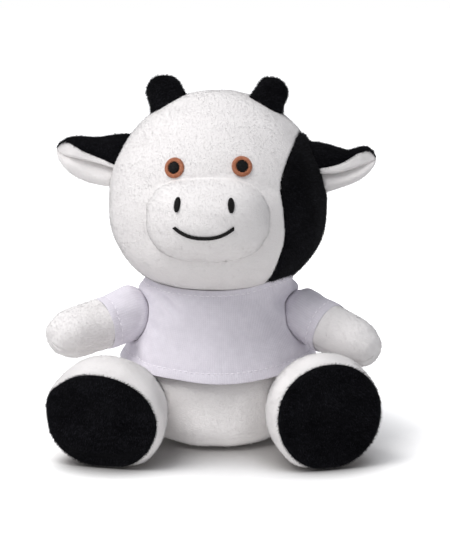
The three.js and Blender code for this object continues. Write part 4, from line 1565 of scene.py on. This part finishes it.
# %% Surface of the shirt's body
SHIRT_WALL, SHIRT_OUT = 0.8, 1.3
FOLD_LINES = [
    # from (x, z), to (x, z), width, depth: hollows are deep, ridges are negative
    ((-34, 78), (-20, 66), 2.2, 1.7),
    ((-27, 77), (-14, 69), 2.4, -0.7),
    ((-42, 50), (-39, 36), 2.6, 1.8),
    ((-38, 52), (-33, 40), 2.2, -0.7),
    ((-36, 62), (-24, 52), 2.4, 0.5),
    ((39, 76), (26, 66), 3.2, 2.4),
    ((24, 76), (32, 63), 2.6, -0.8),
    ((36, 60), (22, 50), 2.4, 0.6),
    ((45, 44), (32, 40), 2.2, 1.5),
    ((35, 53), (41, 38), 2.2, -0.8),
    ((-14, 60), (-18, 36), 3.0, 0.35),
    ((10, 62), (14, 36), 3.2, 0.35),
    ((-2, 58), (-3, 36), 3.4, -0.3),
]


def hem_height(bearing):
    middle = np.where(np.cos(bearing) > 0, HEM_FRONT, HEM_BACK)
    return HEM_SIDE - (HEM_SIDE - middle) * np.cos(bearing) ** 2


def fold_lines(x, z):
    """How deep the cloth lies at a place on the front, from the drawn folds."""
    depth = np.zeros_like(x)
    for start, end, width, deep in FOLD_LINES:
        start, way = np.array(start, float), np.array(end, float) - start
        share = ((x - start[0]) * way[0] + (z - start[1]) * way[1]) / (way @ way)
        held = np.clip(share, 0, 1)
        away = np.hypot(x - start[0] - held * way[0], z - start[1] - held * way[1])
        taper = 0.35 + 0.65 * np.sin(math.pi * np.clip(held, 0.02, 0.98))
        depth += deep * taper * hump(away, width)
    return depth


def shirt_depth(z):
    """The shirt's depth as a share of its width: a little rounder than the torso."""
    return torso_depth(z) + 0.12 * (1 - torso_depth(z))


def shirt_ease(bearing, share):
    """How far the cloth stands off the torso, besides its folds."""
    fall = np.clip(1 - share, 0, 1)
    side = np.sin(bearing) ** 4
    flare = np.where(bearing < 0, 0.8, 2.4)
    hanging = 0.7 + (2 + flare * side) * fall**2
    shoulder = 3.0 * side * ramp(share, 0.62, 0.95)
    shoulder += np.where(bearing < 0, 2.2, 3.6) * side * hump(share - 0.86, 0.09)
    collar = 7.0 * hump(bearing - 0.92, 0.58) * ramp(share, 0.82, 1.05)
    return hanging + shoulder + collar


def shirt_at(bearing, share):
    """A point of the shirt by its bearing from straight ahead and its share of the way up."""
    low = hem_height(bearing)
    z = low + share * (SHIRT_TOP - low)
    flute = 0.9 * np.clip(1 - share, 0, 1) ** 1.5 * (0.5 + 0.5 * np.cos(7 * bearing))
    off_crease = np.abs(bearing) - 1.35 + share * 0.55
    fold = 1.1 * hump(off_crease, 0.16) * np.sin(math.pi * np.clip(share, 0, 1))
    body = torso_radius(np.minimum(z, TORSO_HEIGHT))
    radius = body + shirt_ease(bearing, share) + flute + fold + SHIRT_OUT
    front = np.cos(bearing) > 0
    radius -= np.where(front, fold_lines(radius * np.sin(bearing), z), 0)
    y = -radius * np.cos(bearing) * shirt_depth(z) - BODY_BACK
    return np.stack([radius * np.sin(bearing), y, z], -1)


def shirt_place(points):
    """The bearing and the share of the way up of points near the shirt."""
    depth = shirt_depth(points[:, 2])
    bearing = np.arctan2(points[:, 0], -(points[:, 1] + BODY_BACK) / depth)
    low = hem_height(bearing)
    return bearing, (points[:, 2] - low) / (SHIRT_TOP - low)


def neck_share(bearing):
    """The share of the way up at which the shirt meets the head, found by halving."""
    low, high = np.full_like(bearing, 0.6), np.full_like(bearing, 1.2)
    for _ in range(24):
        middle = (low + high) / 2
        inside = head_share(turn_to_head(shirt_at(bearing, middle)), 0.1) < 1
        high, low = np.where(inside, middle, high), np.where(inside, low, middle)
    return np.minimum(low, 1.14)


print("shirt meets the head at shares", neck_share(np.array([0.0, 1.0, 2.0, 3.0])).round(3))

# %% Cut of the shirt's body
CLOTH_WIDTH, CLOTH_HEIGHT = 300, 46
ARMHOLE_RADIUS = 12.8


def cloth_grid(name, around, up):
    """A flat grid one unit wide and high, to be rolled up, and its points."""
    cloth = added(
        name, bpy.ops.mesh.primitive_grid_add, x_subdivisions=around, y_subdivisions=up, size=1
    )
    return cloth, points_of(cloth) * MM


def measured_map(cloth, width, height):
    """Makes a grid's own UV map the cloth's, in millimetres."""
    flat = cloth.data.uv_layers[0]
    flat.name = "cloth"
    places = np.empty(len(flat.data) * 2, np.float32)
    flat.data.foreach_get("uv", places)
    places = (places.reshape(-1, 2) * [width, height]).astype(np.float32)
    flat.data.foreach_set("uv", places.ravel())


def closed_round(cloth):
    """Sews the two sides of a rolled grid together."""
    only(cloth)
    bpy.ops.object.mode_set(mode="EDIT")
    bpy.ops.mesh.select_all(action="SELECT")
    bpy.ops.mesh.remove_doubles(threshold=0.02 * MM)
    bpy.ops.object.mode_set(mode="OBJECT")


def off_shoulders(points):
    """How far points are from the nearer shoulder's hinge."""
    return np.minimum(*(np.linalg.norm(points - SHOULDER[side], axis=1) for side in SIDES))


shirt, flat = cloth_grid("shirt_body_cloth", 230, 44)
bearing, up_share = flat[:, 0] * 2 * math.pi, flat[:, 1] + 0.5
place_points(shirt, shirt_at(bearing, up_share * neck_share(bearing)))
measured_map(shirt, CLOTH_WIDTH, CLOTH_HEIGHT)
closed_round(shirt)
keep_faces(shirt, off_shoulders(face_centres(shirt)) > ARMHOLE_RADIUS)
print("shirt faces:", len(shirt.data.polygons))

# %% Snap the armholes to a clean curve
points = points_of(shirt)
rim = rim_of(shirt)
for side in SIDES:
    away = np.linalg.norm(points - SHOULDER[side], axis=1)
    near = rim & (away < ARMHOLE_RADIUS + 3)
    ring = points[near]
    for _ in range(6):
        ring = SHOULDER[side] + unit(ring - SHOULDER[side]) * ARMHOLE_RADIUS
        ring = shirt_at(*shirt_place(ring))
    points[near] = ring
place_points(shirt, points)
smooth_piece(shirt, 1, 0.25)
points, normals = points_of(shirt), normals_of(shirt)
if normals[np.argmin(np.abs(points[:, 0]) + points[:, 1])][1] > 0:
    shirt.data.flip_normals()
    normals = -normals
print("shirt points:", len(points))

# %% Seams and hems of the shirt's body
HEM_BAND, NECK_BAND = 4.6, 2.6


def hem_wave(around, off_hem):
    """How far the hem hangs lower and higher on its way round."""
    return 0.35 * np.sin(5 * around + 0.7) * (1 - ramp(off_hem, 0, 6))


around, share = shirt_place(points)
off_hem = points[:, 2] - hem_height(around)
off_neck = (neck_share(around) - share) * (SHIRT_TOP - hem_height(around))
off_hole = off_shoulders(points) - ARMHOLE_RADIUS
relief = 0.25 * (1 - ramp(off_hem, HEM_BAND - 0.4, HEM_BAND + 0.5))
relief -= 0.4 * hump(off_hem - HEM_BAND, 0.55)
relief += 0.2 * (1 - ramp(off_neck, NECK_BAND - 0.4, NECK_BAND + 0.4))
relief -= 0.35 * hump(off_neck - NECK_BAND, 0.5)
relief -= 0.5 * (1 - ramp(off_hole, 0, 1.6)) - 0.3 * hump(off_hole - 1.9, 0.8)
relief += swirl(points, 17, 60)[:, 0] * 0.22 + swirl(points, 8, 61)[:, 0] * 0.07
pucker = np.sin(around * 62) * np.exp(-((off_hem - HEM_BAND) ** 2) / 3) * 0.07
points += normals * (relief + pucker)[:, None]
points[:, 2] -= hem_wave(around, off_hem)
place_points(shirt, points)
thickened(shirt, SHIRT_WALL)
subdivided(shirt)
finished(shirt, "torso", JERSEY, ["shirt_body"])

# %% [markdown]
# ## Sleeves
#
# A sleeve starts under the armhole's edge, swells over the ball of the shoulder and runs a short
# way down the arm to its turned cuff. Its rows are laid from the armhole's own curve, so that the
# two stay together all the way round. It follows the torso at the armhole and the arm at the cuff.

# %% Sleeves
CUFF_BAND, SLEEVE_WALL = 4.2, 0.75
SLEEVE_WIDTH, SLEEVE_HEIGHT = 82, 27
CROWN = {"left": 1.6, "right": 3.4}
TUCKED, SEWN_AT, OVER_BALL = 0.24, 0.11, 0.45


def armhole_angle(side, ways):
    """How far round from the sleeve's back pole the shirt's surface lies, for each way out."""
    back = -ARM_WAY[side]
    low, high = np.full(len(ways), 0.3), np.full(len(ways), math.pi / 2)
    for _ in range(24):
        middle = (low + high) / 2
        at = np.cos(middle)[:, None] * back + np.sin(middle)[:, None] * ways
        spots = SHOULDER[side] + at * (ARMHOLE_RADIUS - 0.3)
        around, share = shirt_place(spots)
        skin = shirt_at(around, share)
        radial = np.hypot(spots[:, 0], spots[:, 1] + BODY_BACK)
        outside = radial > np.hypot(skin[:, 0], skin[:, 1] + BODY_BACK)
        outside |= share > neck_share(around)
        high, low = np.where(outside, middle, high), np.where(outside, low, middle)
    return low


def round_the_arm(side, turn):
    """The arm's direction, the direction above it, and the ways out at each turn from below."""
    way = unit(ARM_WAY[side])
    across = unit(np.cross(way, [0, 0, 1]))
    above = np.cross(across, way)
    return way, above, np.outer(np.cos(turn), -above) + np.outer(np.sin(turn), across)


sleeves = {}
for side, sign in SIDES.items():
    sleeve, flat = cloth_grid(f"sleeve_cloth_{side}", 112, 40)
    turn, share = flat[:, 0] * 2 * math.pi, flat[:, 1] + 0.5
    way, above, ways = round_the_arm(side, turn)
    tuck = armhole_angle(side, ways) - TUCKED
    angle = tuck + (math.pi / 2 - tuck) * np.minimum(share / OVER_BALL, 1)
    past = np.clip((share - OVER_BALL) / (1 - OVER_BALL), 0, 1)
    length = past * SLEEVE_LENGTH
    radius = SLEEVE_RADIUS + 0.4 * past
    points = (
        SHOULDER[side]
        + way * (length - np.cos(angle) * radius)[:, None]
        + ways * (np.sin(angle) * radius)[:, None]
    )
    rise = (angle - tuck - SEWN_AT) * SLEEVE_RADIUS + length
    off_cuff = np.where(length > 0, SLEEVE_LENGTH - length, SLEEVE_LENGTH + 5)
    relief = 0.3 * (1 - ramp(rise, 1.6, 3.0)) + 0.25 * hump(rise - 3.8, 1.4)
    relief -= 0.3 * (1 - ramp(off_cuff, 0, 1.2))
    relief += 0.2 * (1 - ramp(off_cuff, CUFF_BAND - 0.4, CUFF_BAND + 0.4))
    relief -= 0.35 * hump(off_cuff - CUFF_BAND, 0.5)
    fullness = ramp(rise, 2.6, 6) * ramp(off_cuff, 0, 5)
    relief += swirl(points, 14, 70 + sign)[:, 0] * 0.45 * fullness
    relief += np.sin(9 * turn + 1.3 * sign + 0.2 * rise) * 0.16 * fullness
    outs = unit(ways * np.sin(angle)[:, None] - way * np.cos(angle)[:, None])
    points += outs * relief[:, None]
    crown = CROWN[side] * np.clip(outs @ above, 0, 1) ** 2
    points += np.outer(crown * ramp(rise, 0, 3) * (1 - ramp(rise, 6, 24)), above)
    place_points(sleeve, points)
    measured_map(sleeve, SLEEVE_WIDTH, SLEEVE_HEIGHT)
    closed_round(sleeve)
    points, normals = points_of(sleeve), normals_of(sleeve)
    pivot = SHOULDER[side]
    radial = points - pivot - np.outer((points - pivot) @ way, way)
    if (radial * normals).sum() < 0:
        sleeve.data.flip_normals()
    thickened(sleeve, SLEEVE_WALL)
    subdivided(sleeve)
    finished(sleeve, None, JERSEY, [f"sleeve_{side}"])
    start, end = (tuple((pivot + along * way) * MM) for along in (-3, 4))
    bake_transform(sleeve)
    sleeves[side] = sleeve

# %% [markdown]
# ## Stitches of the shirt
#
# The hem, the neck and the cuffs are turned under and held by a line of short stitches. The same
# small stitch as in the face is laid on the cloth at even steps, just proud of it.


# %% Lines of stitches
STITCH_PITCH, STITCH_RADIUS, STITCH_ARCH, STITCH_PROUD = 2.9, 0.27, 0.1, 0.04


def sewn(name, body, cloth, line, length):
    """Lays stitches on a cloth along a closed line of places near it."""
    steps = np.linalg.norm(np.diff(line, axis=0), axis=1)
    along = np.concatenate([[0], np.cumsum(steps)])
    count = int(along[-1] / STITCH_PITCH)
    at = (np.arange(count) + 0.5) * along[-1] / count
    spots = np.stack([np.interp(at, along, line[:, i]) for i in range(3)], 1)
    ways = unit(np.roll(spots, -1, axis=0) - np.roll(spots, 1, axis=0))
    found = [cloth.closest_point_on_mesh(Vector(spot * MM)) for spot in spots]
    places = np.array([near for _, near, _, _ in found]) / MM
    outs = np.array([out for _, _, out, _ in found])
    places += outs * STITCH_PROUD
    line_laid = threads(name, places, ways, outs, length, STITCH_RADIUS, STITCH_ARCH)
    return finished(line_laid, body, STITCH_THREAD)


around = np.linspace(-math.pi, math.pi, 1200)
low = hem_height(around)
hem_line = shirt_at(around, HEM_BAND / (SHIRT_TOP - low))
hem_line[:, 2] -= hem_wave(around, HEM_BAND)
sewn("hem_stitches", "torso", shirt, hem_line, 2.0)
neck_line = shirt_at(around, neck_share(around) - NECK_BAND / (SHIRT_TOP - low))
sewn("neck_stitches", "torso", shirt, neck_line, 1.9)
nearest = round(float(off_shoulders(neck_line).min()), 1)
print("neck line stays", nearest, "mm from the shoulders' hinges")
for side, sleeve in sleeves.items():
    way, _, ways = round_the_arm(side, np.linspace(-math.pi, math.pi, 500))
    ring = SHOULDER[side] + way * (SLEEVE_LENGTH - CUFF_BAND) + ways * (SLEEVE_RADIUS + 0.4)
    sewn(f"cuff_stitches_{side}", f"arm_{side}", sleeve, ring, 1.9)

# %% [markdown]
# ## Light, floor and background
#
# The photograph was lit by large soft lamps, the brightest from above and a little to the left.
# Its background is pure white, and only where the toy sits close to the floor is there a soft
# shade. A lit floor would come out grey, so the camera is shown another one: it turns white with
# the distance from the toy, and near the toy its colour is painted darker where little of the open
# room reaches it, a painted contact shade on top of the real shadows. All other rays meet plain
# pale paper that also glows faintly, a painted bounce light, so that the toy itself is lit at a
# plain level.


# %% Floor
FLOOR_DROP = 0.0004
SHADE_CENTRE, SHADE_NEAR, SHADE_FAR, GLOW = (0.012, -0.025, 0), 0.045, 0.145, 0.9


def white_to_camera(tree, shown, seen):
    """Shows one shader to the camera, to glossy and to clear rays, and another to all the rest."""
    path = node(tree, "LightPath").outputs
    either = path["Is Camera Ray"]
    for other in ("Is Glossy Ray", "Is Transmission Ray"):
        either = maths(tree, "MAXIMUM", either, path[other])
    return node(tree, "MixShader", {0: either, 1: seen, 2: shown}).outputs[0]


def smooth_share(tree, value, low, high, top):
    """From 0 at a low value to the top at a high one, on a smooth slope."""
    limits = {"From Min": low, "From Max": high, "To Min": 0.0, "To Max": top}
    return node(tree, "MapRange", {"Value": value, **limits}, interpolation_type="SMOOTHSTEP")


floor = added("floor", bpy.ops.mesh.primitive_plane_add, size=6, location=(0, 0, -FLOOR_DROP))
paper, tree, shader = new_material("floor_paper", 0.9, specular=0.0)
shader.inputs["Base Color"].default_value = (0.8, 0.795, 0.79, 1)
reach = node(tree, "VectorMath", {0: object_place(tree), 1: SHADE_CENTRE}, operation="DISTANCE")
far = smooth_share(tree, reach.outputs["Value"], SHADE_NEAR, SHADE_FAR, GLOW)
# Painted contact shade: the occlusion below darkens the floor's colour seen by the camera and holds
# back its white glow there, on top of the real shadows.
hidden = node(tree, "AmbientOcclusion", {"Distance": 0.045}, samples=12)
open_share = smooth_share(tree, hidden.outputs["AO"], 0.3, 0.9, 1.0)
glow = node(tree, "Emission", {"Strength": maths(tree, "MULTIPLY", far, open_share)})
painted_contact_shade = two_tone(tree, open_share, (0.3, 0.29, 0.285), (0.88, 0.875, 0.87))
shaded = node(tree, "BsdfDiffuse", {"Color": painted_contact_shade})
to_camera = node(tree, "AddShader", {0: shaded, 1: glow}).outputs[0]
# A painted bounce light: the paper glows faintly to all rays but the camera's, which lifts the
# toy's lower side.
bounce = node(tree, "Emission", {"Strength": 0.08})
to_the_rest = node(tree, "AddShader", {0: shader, 1: bounce}).outputs[0]
surface = white_to_camera(tree, to_camera, to_the_rest)
link(tree, surface, tree.nodes["Material Output"].inputs["Surface"])
floor.data.materials.append(paper)
print("floor:", round(floor.dimensions.x, 1), "m wide")

# %% World and lamps
world = bpy.data.worlds.new("studio")
bpy.context.scene.world = world
world.use_nodes = True
tree = world.node_tree
dim = tree.nodes["Background"]
dim.inputs["Color"].default_value = (0.93, 0.95, 1.0, 1)
dim.inputs["Strength"].default_value = 0.51
white = node(tree, "Background", {"Color": (1, 1, 1, 1), "Strength": 1})
sky = white_to_camera(tree, white.outputs[0], dim.outputs[0])
link(tree, sky, tree.nodes["World Output"].inputs["Surface"])

LAMP_COLOUR, LAMP_AIM = (1.0, 0.99, 0.985), Vector((0, 0, 0.08))
LAMPS = [
    # name, place in metres, size, watts
    ("key", (-0.55, -0.45, 1.15), 0.9, 12.4),
    ("left", (-1.2, -0.3, 0.5), 0.8, 0.6),
]
for name, place, size, watts in LAMPS:
    lamp = added(f"{name}_lamp", bpy.ops.object.light_add, type="AREA", location=place)
    lamp.data.shape = "DISK"
    lamp.data.size, lamp.data.energy, lamp.data.color = size, watts, LAMP_COLOUR
    lamp.rotation_euler = (LAMP_AIM - lamp.location).to_track_quat("-Z", "Y").to_euler()
print("lamps:", [lamp[0] for lamp in LAMPS])

# %% Finish
scene = bpy.context.scene
scene.view_settings.view_transform = "Standard"
